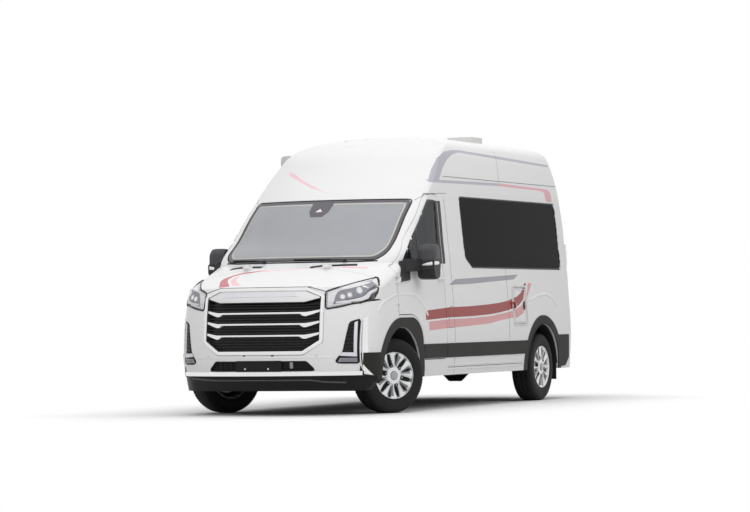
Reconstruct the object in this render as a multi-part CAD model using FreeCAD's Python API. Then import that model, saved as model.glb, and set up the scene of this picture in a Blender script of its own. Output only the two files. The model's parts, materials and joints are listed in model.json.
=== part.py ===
import FreeCAD, Part
import math
import os

V = FreeCAD.Vector
os.makedirs("parts", exist_ok=True)

# Axes: x to the vehicle's left, y rearward, z up. The origin is on the ground under the middle
# of the length. Lengths are millimetres, angles degrees.

# Driving dimensions
length = 5850.0
half_width = 1026.0
roof_height = 2732.0
wheelbase = 3760.0
front_overhang = 1040.0
rear_face_inset = 120.0
trim_proud = 10.0
wall = 50.0
panel_gap = 8.0
glass_thickness = 6.0
glass_inset = 3.0
sill_bottom = 332.0
skirt_bottom = 235.0
overrun = 60.0

# Wheels and steering
tyre_radius = 356.0
tyre_width = 225.0
tyre_corner = 34.0
rim_radius = 222.0
rim_wall = 9.0
rim_lip = 12.0
wheel_track = 1780.0
wheel_clearance = 0.4
arch_radius = 458.0
arch_trim = 92.0
shoulder_reach = 497.0
shoulder_radius = 260.0
arch_depth = 480.0
liner_wall = 5.0
rest_steer = 30.0
kingpin_inset = 70.0

# Heights of the side's lines
belt_height = 1398.0
window_top = 2105.0
door_bottom = 492.0
door_top = 2118.0
clad_bottom = 505.0
clad_top = 645.0
clad_proud = 7.0
floor_height = 640.0
floor_thickness = 45.0
cap_seam = 2300.0

half_length = length / 2
front_axle_y = -half_length + front_overhang
rear_axle_y = front_axle_y + wheelbase
rear_face = half_length - rear_face_inset
wheel_x = wheel_track / 2
far = length


# Levels of the outer skin: height, set-back of the nose, bow of the front in plan, radius of the
# front corner and half width, as shares of roof height, length, length, half width, half width.
face_shares = [
    (0.0860, 0.0100, 0.052, 0.225, 0.972),
    (0.1471, 0.0020, 0.055, 0.220, 0.984),
    (0.2011, 0.0000, 0.056, 0.215, 0.994),
    (0.2747, 0.0014, 0.057, 0.215, 1.000),
    (0.3482, 0.0048, 0.058, 0.218, 0.993),
    (0.4022, 0.0095, 0.058, 0.222, 0.984),
    (0.4385, 0.0165, 0.058, 0.225, 0.977),
]
bonnet_shares = [
    face_shares[-1],
    (0.4571, 0.0405, 0.059, 0.215, 0.974),
    (0.4792, 0.0700, 0.060, 0.200, 0.969),
    (0.5013, 0.1000, 0.060, 0.175, 0.965),
    (0.5216, 0.1275, 0.059, 0.145, 0.961),
]
screen_shares = [
    bonnet_shares[-1],
    (0.5857, 0.1640, 0.058, 0.080, 0.946),
    (0.6589, 0.2065, 0.056, 0.050, 0.929),
    (0.7321, 0.2480, 0.054, 0.045, 0.912),
    (0.7723, 0.2720, 0.053, 0.045, 0.902),
    (0.8053, 0.2915, 0.052, 0.045, 0.893),
    (0.8419, 0.3140, 0.051, 0.047, 0.878),
    (0.8803, 0.3360, 0.050, 0.051, 0.855),
    (0.9122, 0.3550, 0.048, 0.056, 0.834),
    (0.9381, 0.3770, 0.046, 0.064, 0.811),
    (0.9608, 0.4040, 0.045, 0.075, 0.778),
    (0.9777, 0.4310, 0.045, 0.088, 0.722),
    (0.9908, 0.4620, 0.045, 0.103, 0.615),
    (1.0000, 0.5006, 0.045, 0.123, 0.460),
]
bow_power = 2.3
rear_radius = 120.0
rear_lean_share = 0.10
rear_lean_start = 1900.0
shoulder = 2300.0


def spline(points):
    curve = Part.BSplineCurve()
    curve.interpolate(points)
    return curve.toShape()


def plan_wire(level, inset):
    """Closed plan outline at one level: bowed nose, corner arcs, straight sides and rounded rear."""
    height_share, nose_share, bow_share, corner_share, width_share = level
    height = height_share * roof_height
    width = width_share * half_width - inset
    nose = -half_length + trim_proud + nose_share * length + inset
    bow = bow_share * length
    corner = corner_share * half_width - inset / 2
    lean = max(height - rear_lean_start, 0.0) * rear_lean_share
    rear = rear_face - lean - inset
    turn = rear_radius + lean - inset / 2
    top_part = max(height - shoulder, 0.0) / (roof_height - shoulder)
    z = height - inset * top_part
    steps = 6

    def front(x):
        return nose + bow * (x / width) ** bow_power

    nose_points = [(width - corner) * i / steps for i in range(steps + 1)]
    nose_line = [V(x, front(x), z) for x in nose_points]
    turn_line = []
    back_line = []
    for i in range(steps + 1):
        angle = math.radians(90.0 * i / steps)
        x = width - corner + corner * math.sin(angle)
        turn_line.append(V(x, front(x) + corner * (1 - math.cos(angle)), z))
        back_line.append(V(width - turn + turn * math.cos(angle), rear - turn + turn * math.sin(angle), z))
    half = [nose_line, turn_line, [turn_line[-1], back_line[0]], back_line]
    other = [[V(-p.x, p.y, p.z) for p in reversed(line)] for line in reversed(half)]
    lines = half + [[back_line[-1], V(-back_line[-1].x, back_line[-1].y, z)]] + other
    return Part.Wire([spline(line) if len(line) > 2 else Part.makeLine(*line) for line in lines])


def band(levels, inset):
    return Part.makeLoft([plan_wire(level, inset) for level in levels], True, False, False, 3)


def hull(inset):
    """Closed solid of the whole body, its skin moved in by the inset."""
    face, bonnet, screen = [band(levels, inset) for levels in (face_shares, bonnet_shares, screen_shares)]
    return face.fuse(bonnet).fuse(screen)


def along(axis, start):
    """Placing rule that turns two outline coordinates into a point on a plane across the axis."""
    rules = {"x": lambda p: V(start, p.x, p.y), "y": lambda p: V(p.x, start, p.y), "z": lambda p: V(p.x, p.y, start)}
    return rules[axis]


def rounded_face(points, radius, place):
    """Face bounded by a polygon whose corners are turned by tangent arcs."""
    corners = [V(a, b, 0) for a, b in points]
    radii = radius if isinstance(radius, (list, tuple)) else [radius] * len(corners)
    turns = []
    for i, corner in enumerate(corners):
        back = (corners[i - 1] - corner).normalize()
        on = (corners[(i + 1) % len(corners)] - corner).normalize()
        half = back.getAngle(on) / 2
        middle = (back + on).normalize() * (radii[i] / math.sin(half) - radii[i])
        reach = radii[i] / math.tan(half)
        turns.append((corner + back * reach, corner + middle, corner + on * reach))
    edges = []
    for i, (first, middle, last) in enumerate(turns):
        if radii[i] > 0:
            edges.append(Part.Arc(place(first), place(middle), place(last)).toShape())
        edges.append(Part.makeLine(place(last), place(turns[(i + 1) % len(turns)][0])))
    return Part.Face(Part.Wire(edges))


def prism(points, radius, axis, start, end):
    way = {"x": V(1, 0, 0), "y": V(0, 1, 0), "z": V(0, 0, 1)}[axis]
    return rounded_face(points, radius, along(axis, start)).extrude(way * (end - start))


def box(x0, x1, y0, y1, z0, z1):
    return Part.makeBox(x1 - x0, y1 - y0, z1 - z0, V(x0, y0, z0))


def rod(start, end, radius):
    return Part.makeCylinder(radius, (end - start).Length, start, end - start)


def mirrored(shape):
    return shape.mirror(V(0, 0, 0), V(1, 0, 0))


def moved(shape, x, y, z):
    copy = shape.copy()
    copy.translate(V(x, y, z))
    return copy


def joined(shapes):
    return shapes[0].multiFuse(shapes[1:]) if len(shapes) > 1 else shapes[0]


def solids(shape, smallest=4000.0):
    """The shape without slivers, as one solid or a compound of its solids."""
    kept = [s for s in shape.Solids if s.Volume > smallest]
    return kept[0] if len(kept) == 1 else Part.makeCompound(kept)


def place_y(from_front_axle):
    return front_axle_y + from_front_axle


nodes = {}


def node(name, shape):
    nodes[name] = solids(shape)


# The body's skin
outer = hull(0.0)
inner = hull(wall)
shell = outer.cut(inner)

# Wheel arch openings, cut through each side's wall
arch_inner_x = half_width - arch_depth


def arch_cylinder(axle_y, radius, x0, x1):
    return Part.makeCylinder(radius, x1 - x0, V(x0, axle_y, tyre_radius), V(1, 0, 0))


def arch_shoulder(grow):
    """The front trim's squarer rear shoulder in side view, grown all round."""
    edge = front_axle_y + shoulder_reach + grow
    top = tyre_radius + arch_radius + arch_trim + grow
    corners = [(front_axle_y, tyre_radius), (front_axle_y, top), (edge, top), (edge, tyre_radius)]
    return prism(corners, [0, 0, shoulder_radius + grow, 0], "x", arch_inner_x, half_width + overrun)


arches = []
for axle_y in (front_axle_y, rear_axle_y):
    arches.append(arch_cylinder(axle_y, arch_radius, arch_inner_x, half_width + overrun))
    arches.append(arch_cylinder(axle_y, arch_radius, -half_width - overrun, -arch_inner_x))
shell = shell.cut(Part.makeCompound(arches))
shell = shell.common(box(-far, far, -far, far, skirt_bottom, far))

# Outline of the roof cap's lower edge in side view, from the screen's top edge to the rear
cap_front_height = 2085.0
cap_step_y = place_y(620.0)
cap_rise_y = place_y(900.0)
cap_rise_height = 2243.0
cap_level_y = place_y(1300.0)


def cap_outline(lift):
    return [
        (-far, cap_front_height + lift), (cap_step_y, cap_front_height + lift),
        (cap_rise_y, cap_rise_height + lift), (cap_level_y, cap_seam + lift),
        (far, cap_seam + lift), (far, far), (-far, far),
    ]


cap_region = prism(cap_outline(0), 0, "x", -far, far)
node("roof_cap", shell.common(cap_region))
lower_shell = shell.cut(cap_region)

# Front door in side view: front edge, pillar slope, top, rear edge and the arc over the wheel
door_front_y = place_y(-60.0)
door_rear_y = place_y(1104.0)
pillar_foot = (place_y(20.0), 1420.0)
pillar_head = (place_y(857.0), door_top)
door_arc_gap = 22.0
door_arc_radius = arch_radius + arch_trim + door_arc_gap
door_corner = 45.0
door_inner_x = 620.0
foot_ease = 0.35


def door_prism(shrink, side):
    """Side-view prism of the front door, drawn in all round by a clearance."""
    radius = door_arc_radius + shrink
    low = door_bottom + shrink
    front = door_front_y + shrink
    low_y = front_axle_y + math.sqrt(radius ** 2 - (low - tyre_radius) ** 2)
    front_low = tyre_radius + math.sqrt(radius ** 2 - (front - front_axle_y) ** 2)
    slope = V(pillar_head[0] - pillar_foot[0], pillar_head[1] - pillar_foot[1], 0).normalize()
    across = V(slope.y, -slope.x, 0) * shrink
    foot = V(pillar_foot[0], pillar_foot[1], 0) + across
    foot_height = foot.y - (foot.x - front) * slope.y / slope.x * foot_ease
    head_y = foot.x + (door_top - shrink - foot.y) * slope.x / slope.y
    corners = [(front, front_low), (front, foot_height), (foot.x, foot.y), (head_y, door_top - shrink),
               (door_rear_y - shrink, door_top - shrink), (door_rear_y - shrink, low), (low_y, low)]
    base = prism(corners, [0, 0, 0, door_corner, door_corner, door_corner, 0], "x", door_inner_x,
                 half_width + overrun)
    base = base.cut(arch_cylinder(front_axle_y, radius, 0, half_width + overrun))
    base = base.cut(arch_shoulder(door_arc_gap + shrink))
    return base if side > 0 else mirrored(base)


door_hole = door_prism(0.0, 1)
door_solid_prism = door_prism(panel_gap, 1)

# Front door window
door_window = [
    (place_y(135.0), 1440.0), (place_y(862.0), 2045.0), (place_y(1045.0), 2045.0), (place_y(1018.0), 1440.0),
]
door_window_radii = [30.0, 50.0, 35.0, 35.0]


def window_prism(points, radii):
    return prism(points, radii, "x", arch_inner_x, half_width + overrun)


def skin(region, proud, depth, direction):
    """Layer of the region that follows the outer skin, from proud of it to a depth under it."""
    lift = direction * proud
    sink = direction * -depth
    return region.common(moved(outer, lift.x, lift.y, lift.z)).cut(moved(outer, sink.x, sink.y, sink.z))


left = V(1, 0, 0)
ahead = V(0, -1, 0)
astern = V(0, 1, 0)

door_window_prism = window_prism(door_window, door_window_radii)
door_left = lower_shell.common(door_solid_prism).cut(door_window_prism)
glass = skin(door_window_prism, -glass_inset, glass_inset + glass_thickness, left)
node("door_glass_left", glass)
node("door_glass_right", mirrored(glass))


# Hinges: a barrel on the moving panel turns round a pin that two lugs on the fixed panel hold
hinge_radius = 7.0
hinge_pin = 3.0
hinge_slack = 0.3
hinge_barrel = 46.0
hinge_lug = 13.0
hinge_reach = 30.0


def hinge(centre, axis, toward_leaf, toward_skin, depth):
    """Leaf part and frame part of one hinge. The lugs reach sideways and down to the skin."""

    def lug(low, high, sideways):
        start = centre + axis * low
        barrel = Part.makeCylinder(hinge_radius, high - low, start, axis)
        reach = sideways * hinge_reach
        corner = start + toward_skin * -hinge_radius
        edge = [corner, corner + reach, corner + reach + toward_skin * (hinge_radius + depth)]
        edge.append(corner + toward_skin * (hinge_radius + depth))
        plate = Part.Face(Part.makePolygon(edge + edge[:1])).extrude(axis * (high - low))
        return barrel.fuse(plate)

    half = hinge_barrel / 2
    bore = Part.makeCylinder(hinge_pin + hinge_slack, hinge_barrel, centre - axis * half, axis)
    leaf = lug(-half, half, toward_leaf).cut(bore)
    low = -half - hinge_slack - hinge_lug
    high = half + hinge_slack
    frame = joined([
        lug(low, low + hinge_lug, -toward_leaf), lug(high, high + hinge_lug, -toward_leaf),
        Part.makeCylinder(hinge_pin, 2 * (high + hinge_lug / 2), centre - axis * (high + hinge_lug / 2), axis),
    ])
    return leaf, frame


up = V(0, 0, 1)
door_axis_x = half_width - 2.0
door_axis_y = door_front_y + panel_gap / 2
door_hinge_heights = (1010.0, 1270.0)
door_hinge_depth = 36.0
door_leaves = []
door_frames = []
for height in door_hinge_heights:
    leaf, frame = hinge(V(door_axis_x, door_axis_y, height), up, astern, V(-1, 0, 0), door_hinge_depth)
    door_leaves.append(leaf)
    door_frames.append(frame)
door_left = joined([door_left] + door_leaves)
node("door_left", door_left)
node("door_right", mirrored(door_left))

# Cladding: dark strips and arch trims that stand proud of the skin
clad_front_y = place_y(-735.0)
arch_outer = arch_radius + arch_trim
front_clad_top = 585.0
front_clad_bottom = 367.0
rear_clad = [(rear_axle_y, 343.0), (place_y(4218.0), 343.0), (place_y(4445.0), 360.0), (place_y(4536.0), 445.0),
             (place_y(4512.0), 695.0), (rear_axle_y, 695.0)]


def clad_region(low_y, high_y, low, high):
    return prism([(low_y, low), (high_y, low), (high_y, high), (low_y, high)], 0, "x", arch_inner_x,
                 half_width + overrun)


trim_rings = []
for axle_y in (front_axle_y, rear_axle_y):
    ring = arch_cylinder(axle_y, arch_outer, arch_inner_x, half_width + overrun)
    ring = ring.common(box(0, far, -far, far, sill_bottom, far))
    trim_rings.append(ring)
trim_rings.append(arch_shoulder(0).common(box(0, far, -far, far, sill_bottom, far)))
strip = clad_region(front_axle_y, rear_axle_y, clad_bottom, clad_top)
front_patch = clad_region(clad_front_y, front_axle_y, front_clad_bottom, front_clad_top)
rear_patch = prism(rear_clad, 0, "x", arch_inner_x, half_width + overrun)
clad = joined([strip, front_patch, rear_patch] + trim_rings)
for axle_y in (front_axle_y, rear_axle_y):
    clad = clad.cut(arch_cylinder(axle_y, arch_radius, 0, half_width + overrun))
clad_left = skin(clad, clad_proud, 0, left)
door_clad = clad_left.common(door_solid_prism)
clad_left = clad_left.cut(door_hole)
node("door_cladding_left", door_clad)
node("door_cladding_right", mirrored(door_clad))
node("cladding", Part.makeCompound([clad_left, mirrored(clad_left)]))

# Regions of the lower shell in side view
cab_rear_y = place_y(960.0)
cab_step = 1200.0
cab_region = prism([(-far, -far), (front_axle_y, -far), (front_axle_y, cab_step), (cab_rear_y, cab_step),
                    (cab_rear_y, far), (-far, far)], 0, "x", -far, far)
both_door_holes = Part.makeCompound([door_hole, mirrored(door_hole)])
cab = lower_shell.common(cab_region).cut(both_door_holes)
sides = lower_shell.cut(cab_region).cut(both_door_holes).common(box(-far, far, -far, far, sill_bottom, far))

# Windscreen
screen_outline = [(-850.0, 1535.0), (-832.0, 2058.0), (832.0, 2058.0), (850.0, 1535.0), (790.0, 1462.0),
                  (-790.0, 1462.0)]
screen_prism = prism(screen_outline, [70.0, 45.0, 45.0, 70.0, 120.0, 120.0], "y", -half_length, place_y(1000.0))
node("windscreen", skin(screen_prism, -glass_inset, glass_inset + glass_thickness, ahead))

# Bonnet in front view, from the grille's and headlamps' top edges to the cowl
bonnet_side = 915.0
cowl_y = place_y(-372.0)
lamp_inner = (632.0, 1150.0)
lamp_outer_height = 1296.0
bonnet_front_height = 1199.0
lamp_step_x = 470.0


def bonnet_outline(shrink):
    side = bonnet_side - shrink
    rise = (lamp_outer_height - lamp_inner[1]) / (half_width - lamp_inner[0])
    side_height = lamp_inner[1] + rise * (side - lamp_inner[0]) + shrink
    half = [(side, far), (side, side_height), (lamp_inner[0], lamp_inner[1] + shrink),
            (lamp_step_x, bonnet_front_height + shrink)]
    return half + [(-x, z) for x, z in reversed(half)]


bonnet_hole = prism(bonnet_outline(0), 0, "y", -far, cowl_y)
bonnet = lower_shell.common(prism(bonnet_outline(panel_gap), 0, "y", -far, cowl_y - panel_gap))

bonnet_hinge_x = 420.0
bonnet_axis_y = cowl_y - panel_gap / 2
bonnet_axis_z = 1420.0
bonnet_hinge_depth = 62.0
bonnet_leaves = []
cowl_lugs = []
for side in (-1, 1):
    centre = V(side * bonnet_hinge_x, bonnet_axis_y, bonnet_axis_z)
    leaf, frame = hinge(centre, V(1, 0, 0), ahead, V(0, 0, -1), bonnet_hinge_depth)
    bonnet_leaves.append(leaf)
    cowl_lugs.append(frame)
node("bonnet", joined([bonnet] + bonnet_leaves))

# Headlamps, in front view, ending on the wing's side
lamp_rear_y = place_y(-455.0)
lamp_outline = [lamp_inner, (half_width, lamp_outer_height), (half_width + overrun, lamp_outer_height),
                (half_width + overrun, 1085.0), (960.0, 1060.0), (640.0, 985.0)]
lamp_prism = prism(lamp_outline, [12.0, 0, 0, 0, 20.0, 12.0], "y", -far, lamp_rear_y)
lamps = Part.makeCompound([lamp_prism, mirrored(lamp_prism)])
node("headlamps", lower_shell.common(lamps))

# Grille opening and its frame, bars and insert
grille_outer = [(459.0, 1197.0), (618.0, 1128.0), (618.0, 690.0), (445.0, 573.0)]
grille_ring = 34.0
grille_inner = [(452.0, 1060.0), (590.0, 1085.0), (590.0, 706.0), (436.0, 606.0)]
grille_depth = 40.0
grille_radius = 14.0


def both_sides(half):
    return half + [(-x, z) for x, z in reversed(half)]


grille_prism = prism(both_sides(grille_outer), grille_radius, "y", -far, front_axle_y)
opening_prism = prism(both_sides(grille_inner), grille_radius, "y", -far, front_axle_y)
grille_frame = skin(grille_prism, trim_proud, grille_depth, ahead).cut(opening_prism)
bar_heights = (948.0, 843.0, 736.0)
bar_height = 26.0
bar_side = 592.0
bar_wedge = 26.0
bar_wedge_x = (440.0, 480.0)
bar_sink = 6.0


def bar_outline(middle):
    """Front-view outline of one grille bar, with a wedge that hangs from each end."""
    low = middle - bar_height / 2
    high = middle + bar_height / 2
    half = [(bar_side, high + bar_height), (bar_side, low + bar_height / 2),
            (bar_wedge_x[1], low - bar_wedge), (bar_wedge_x[0], low)]
    return [(bar_wedge_x[0], high)] + half + [(-x, z) for x, z in reversed(half)] + [(-bar_wedge_x[0], high)]


bars = [skin(prism(bar_outline(z), 0, "y", -far, front_axle_y), -bar_sink, grille_depth, ahead).common(opening_prism)
        for z in bar_heights]
node("grille_frame", joined([grille_frame] + bars))
insert_depth = 30.0
slat_count = 12
slat_height = 10.0
slat_proud = 18.0
backing = skin(opening_prism, -grille_depth, grille_depth + insert_depth, ahead)
slats = []
for i in range(slat_count):
    z = grille_inner[3][1] + (grille_inner[0][1] - grille_inner[3][1]) * (i + 0.5) / slat_count
    if min(abs(z - bar) for bar in bar_heights) > bar_height:
        slats.append(box(-bar_side, bar_side, -far, front_axle_y, z - slat_height / 2, z + slat_height / 2))
slat_region = Part.makeCompound(slats).common(opening_prism)
slat_skin = skin(slat_region, slat_proud - grille_depth, grille_depth, ahead)
grille_insert = joined([backing] + slat_skin.Solids).cut(nodes["grille_frame"])

# Bumper, lower intake, corner lamps and skirt
bumper_rear_y = place_y(-500.0)
bumper_bottom = 395.0
intake_outline = [(470.0, 509.0), (556.0, 425.0)]
intake_prism = prism(both_sides(intake_outline), 10.0, "y", -far, front_axle_y)
corner_outline = [(845.0, 878.0), (912.0, 905.0), (904.0, 485.0), (770.0, 485.0), (722.0, 512.0), (792.0, 592.0)]
corner_prism = prism(corner_outline, [14.0, 8.0, 8.0, 14.0, 6.0, 20.0], "y", -far, bumper_rear_y)
corner_lamps = Part.makeCompound([corner_prism, mirrored(corner_prism)])
lip_height = 38.0
bumper_region = box(-far, far, -far, bumper_rear_y, bumper_bottom, lamp_outer_height)
bumper = lower_shell.common(bumper_region).cut(bonnet_hole).cut(lamps).cut(grille_prism)
node("front_bumper", bumper.cut(intake_prism).cut(corner_lamps))
node("corner_lamps", lower_shell.common(corner_lamps))
intake = skin(intake_prism, -wall / 2, wall, ahead)
node("grille_insert", Part.makeCompound([grille_insert, intake]))
skirt_outline = [(half_width + overrun, bumper_bottom), (1000.0, 330.0), (930.0, skirt_bottom)]
skirt_region = prism(both_sides(skirt_outline), 0, "y", -far, bumper_rear_y)
node("front_skirt", lower_shell.common(skirt_region))
cab = cab.cut(box(-far, far, -far, bumper_rear_y, -far, cab_step)).cut(bonnet_hole).cut(lamps).cut(screen_prism)
cab = cab.common(box(-far, far, -far, far, sill_bottom, far))

lip_region = box(-half_width, half_width, -far, bumper_rear_y - overrun, bumper_bottom - lip_height / 2,
                 bumper_bottom + lip_height / 2)
blade = prism([(932.0, bumper_bottom), (972.0, bumper_bottom), (962.0, 925.0), (934.0, 905.0)], 0, "y", -far,
              bumper_rear_y - overrun)
lip = skin(joined([lip_region, blade, mirrored(blade)]), trim_proud, 0, ahead)
node("front_trim", lip.cut(nodes["cladding"]))

# Cowl floor and bulkhead close the cab's front
shelf_low = 1290.0
shelf_high = 1310.0
shelf_rear_y = place_y(110.0)
bulkhead_y = place_y(-40.0)
bulkhead_thickness = 20.0
bulkhead = box(-arch_inner_x + panel_gap, arch_inner_x - panel_gap, bulkhead_y, bulkhead_y + bulkhead_thickness,
               floor_height - floor_thickness, shelf_low)
cowl_shelf = box(-half_width, half_width, cowl_y, shelf_rear_y, shelf_low, shelf_high).common(inner)
cowl_shelf = cowl_shelf.cut(both_door_holes)
cab_node = joined([cab] + cowl_lugs + door_frames + [mirrored(f) for f in door_frames])
node("cab_front", cab_node)

# Living-space windows
side_window = [(place_y(1700.0), 1500.0), (place_y(1680.0), window_top), (place_y(4372.0), window_top),
               (place_y(4399.0), belt_height), (place_y(1860.0), belt_height)]
side_radii = [60.0, 30.0, 30.0, 45.0, 90.0]
side_window_prism = window_prism(side_window, side_radii)
side_glass = skin(side_window_prism, -glass_inset, glass_inset + glass_thickness, left)

# Sliding door on the right, drawn as on the left and mirrored, with its own window
slide_front_y = place_y(1310.0)
slide_rear_y = place_y(2640.0)
slide_window = [(slide_front_y + 2 * wall, belt_height), (slide_front_y + 2 * wall, window_top),
                (slide_rear_y - wall, window_top), (slide_rear_y - wall, belt_height)]
rear_window = [(slide_rear_y + wall, belt_height), (slide_rear_y + wall, window_top),
               (place_y(4372.0), window_top), (place_y(4399.0), belt_height)]
slide_outline = [(slide_front_y, door_bottom), (slide_front_y, door_top + wall), (slide_rear_y, door_top + wall),
                 (slide_rear_y, door_bottom)]
slide_prism = prism(slide_outline, door_corner, "x", arch_inner_x, half_width + overrun)
slide_window_prism = window_prism(slide_window, door_corner)
rear_window_prism = window_prism(rear_window, door_corner)
slide_glass = skin(slide_window_prism, -glass_inset, glass_inset + glass_thickness, left)
rear_side_glass = skin(rear_window_prism, -glass_inset, glass_inset + glass_thickness, left)
node("side_glass", Part.makeCompound([side_glass, mirrored(rear_side_glass), mirrored(slide_glass)]))

# Service flap on the left
flap_front_y = place_y(2915.0)
flap_rear_y = place_y(3285.0)
flap_low = 820.0
flap_high = 1200.0
flap_radius = 30.0
flap_depth = 20.0


def flap_prism(shrink):
    points = [(flap_front_y + shrink, flap_low + shrink), (flap_front_y + shrink, flap_high - shrink),
              (flap_rear_y - shrink, flap_high - shrink), (flap_rear_y - shrink, flap_low + shrink)]
    return prism(points, flap_radius - shrink, "x", arch_inner_x, half_width + overrun)


flap_axis_x = half_width + 9.0
flap_axis_y = flap_front_y + panel_gap / 2
flap_hinge_depth = 22.0
flap = skin(flap_prism(panel_gap), 0, flap_depth, left)
flap_leaf, flap_frame = hinge(V(flap_axis_x, flap_axis_y, (flap_low + flap_high) / 2), up, astern, V(-1, 0, 0),
                              flap_hinge_depth)
node("service_flap", joined([flap, flap_leaf]))
flap_pocket = skin(flap_prism(0), overrun, flap_depth + panel_gap, left)

# Rear doors
rear_door_side = 858.0
rear_door_bottom = 560.0
rear_door_top = 2235.0
rear_door_start = rear_face - 2 * rear_radius


def rear_prism(low_x, high_x, low, high, radius):
    return prism([(low_x, low), (high_x, low), (high_x, high), (low_x, high)], radius, "y", rear_door_start, half_length)


rear_hole = rear_prism(-rear_door_side, rear_door_side, rear_door_bottom, rear_door_top, 0)
door_meeting = 5.0
rear_leaf_prism = rear_prism(door_meeting, rear_door_side - panel_gap, rear_door_bottom + panel_gap,
                             rear_door_top - panel_gap, 0)
rear_glass_prism = rear_prism(130.0, 720.0, belt_height, 2040.0, 50.0)
rear_door = lower_shell.common(rear_leaf_prism).cut(rear_glass_prism)
rear_glass = skin(rear_glass_prism, -glass_inset, glass_inset + glass_thickness, astern)
rear_axis_x = rear_door_side - panel_gap / 2
rear_axis_y = rear_face + 9.0
rear_hinge_heights = (720.0, 1250.0, 1830.0)
rear_hinge_depth = 30.0
rear_leaves = []
rear_frames = []
for height in rear_hinge_heights:
    leaf, frame = hinge(V(rear_axis_x, rear_axis_y, height), up, V(-1, 0, 0), V(0, -1, 0), rear_hinge_depth)
    rear_leaves.append(leaf)
    rear_frames.append(frame)
rear_door = joined([rear_door] + rear_leaves)
node("rear_door_left", rear_door)
node("rear_door_right", mirrored(rear_door))
node("rear_glass_left", rear_glass)
node("rear_glass_right", mirrored(rear_glass))

# Tail lamps on the rear corners
tail_low = 900.0
tail_high = 1690.0
tail_prism = prism([(920.0, tail_low), (half_width + overrun, tail_low), (half_width + overrun, tail_high),
                    (905.0, tail_high)], 0, "y", rear_face - 0.75 * rear_radius, half_length)
tail_lamp = lower_shell.common(tail_prism)
node("tail_lamps", Part.makeCompound([tail_lamp, mirrored(tail_lamp)]))

# Body sides
tail_cut = Part.makeCompound([tail_prism, mirrored(tail_prism)])
sides = sides.cut(rear_hole).cut(tail_cut)
left_side = sides.common(box(0, far, -far, far, -far, far)).cut(side_window_prism).cut(flap_pocket)
left_side = joined([left_side, flap_frame] + rear_frames)
right_side = sides.common(box(-far, 0, -far, far, -far, far)).cut(mirrored(slide_prism))
right_side = right_side.cut(mirrored(rear_window_prism))
right_side = joined([right_side] + [mirrored(f) for f in rear_frames])
node("body_side_left", left_side)
node("body_side_right", right_side)
sliding = mirrored(lower_shell.common(slide_prism).cut(slide_window_prism))
node("sliding_door", sliding)

# Floor, wheel houses and bulkhead
floor_low = floor_height - floor_thickness
tunnel_x = arch_inner_x - panel_gap
floor = box(-half_width, half_width, bulkhead_y, rear_face, floor_low, floor_height).common(inner)
house_cuts = []
houses = []
for axle_y in (front_axle_y, rear_axle_y):
    house = arch_cylinder(axle_y, arch_radius + liner_wall, arch_inner_x - liner_wall, half_width + overrun)
    space = arch_cylinder(axle_y, arch_radius, arch_inner_x, half_width + overrun)
    ring = house.cut(space).common(inner).common(box(-far, far, -far, far, floor_low - panel_gap, far))
    houses.append(ring)
    house_cuts += [house, mirrored(house)]
floor = floor.cut(Part.makeCompound(house_cuts))
front_floor_cut = box(tunnel_x, far, bulkhead_y, front_axle_y + liner_wall, -far, far)
floor = floor.cut(Part.makeCompound([front_floor_cut, mirrored(front_floor_cut)]))
sill_x = half_width - 1.5 * wall
door_space = box(sill_x, far, door_front_y - panel_gap, door_rear_y, sill_bottom, door_top)
left_houses = Part.makeCompound(houses).cut(door_space)
node("wheel_houses", Part.makeCompound([left_houses, mirrored(left_houses)]))
floor_pan = joined([floor, bulkhead, cowl_shelf.cut(nodes["wheel_houses"])])
floor_pan = floor_pan.cut(Part.makeCompound([door_space, mirrored(door_space)]))
node("floor_pan", floor_pan)

# Chassis frame under the floor
rail_x = 430.0
rail_width = 60.0
rail_height = 110.0
rail_top = floor_low
rail_front_y = -half_length + 230.0
rail_rear_y = rear_face - wall
cross_width = 70.0
rails = [box(s * rail_x - rail_width / 2, s * rail_x + rail_width / 2, rail_front_y, rail_rear_y,
             rail_top - rail_height, rail_top) for s in (-1, 1)]
cross_places = (rail_front_y, front_axle_y + 520.0, 0.0, rear_axle_y - 620.0, rear_axle_y + 560.0,
                rail_rear_y - cross_width)
cross_x = rail_x - rail_width / 2
crosses = [box(-cross_x, cross_x, y, y + cross_width, rail_top - rail_height * 0.7, rail_top - rail_height * 0.1)
           for y in cross_places]
tow_hole = 6.5
tow_y = rail_rear_y - 150.0
tow_pitch = 120.0
tow_holes = [rod(V(s * rail_x, tow_y + d * tow_pitch / 2, rail_top - rail_height),
                 V(s * rail_x, tow_y + d * tow_pitch / 2, rail_top - rail_height * 0.2), tow_hole)
             for s in (-1, 1) for d in (-1, 1)]
node("chassis_rails", Part.makeCompound(rails).cut(Part.makeCompound(tow_holes)))
node("cross_members", Part.makeCompound(crosses))

# Engine as one plain block between the rails
engine = box(-300.0, 300.0, front_axle_y - 420.0, front_axle_y - 60.0, 420.0, 1080.0)
engine_mount = box(-rail_x + rail_width / 2, rail_x - rail_width / 2, front_axle_y - 280.0, front_axle_y - 200.0,
                   rail_top - rail_height, rail_top)
node("engine_block", joined([engine, engine_mount]))

# Wheels: tyre and rim turned about their own axis
steer_x = wheel_x - kingpin_inset


def wheel_profile_solid(points):
    """Ring turned about the x axis from a profile of width and radius."""
    corners = [V(a, 0, b) for a, b in points]
    return Part.Face(Part.makePolygon(corners + corners[:1])).revolve(V(0, 0, 0), V(1, 0, 0), 360)


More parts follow.
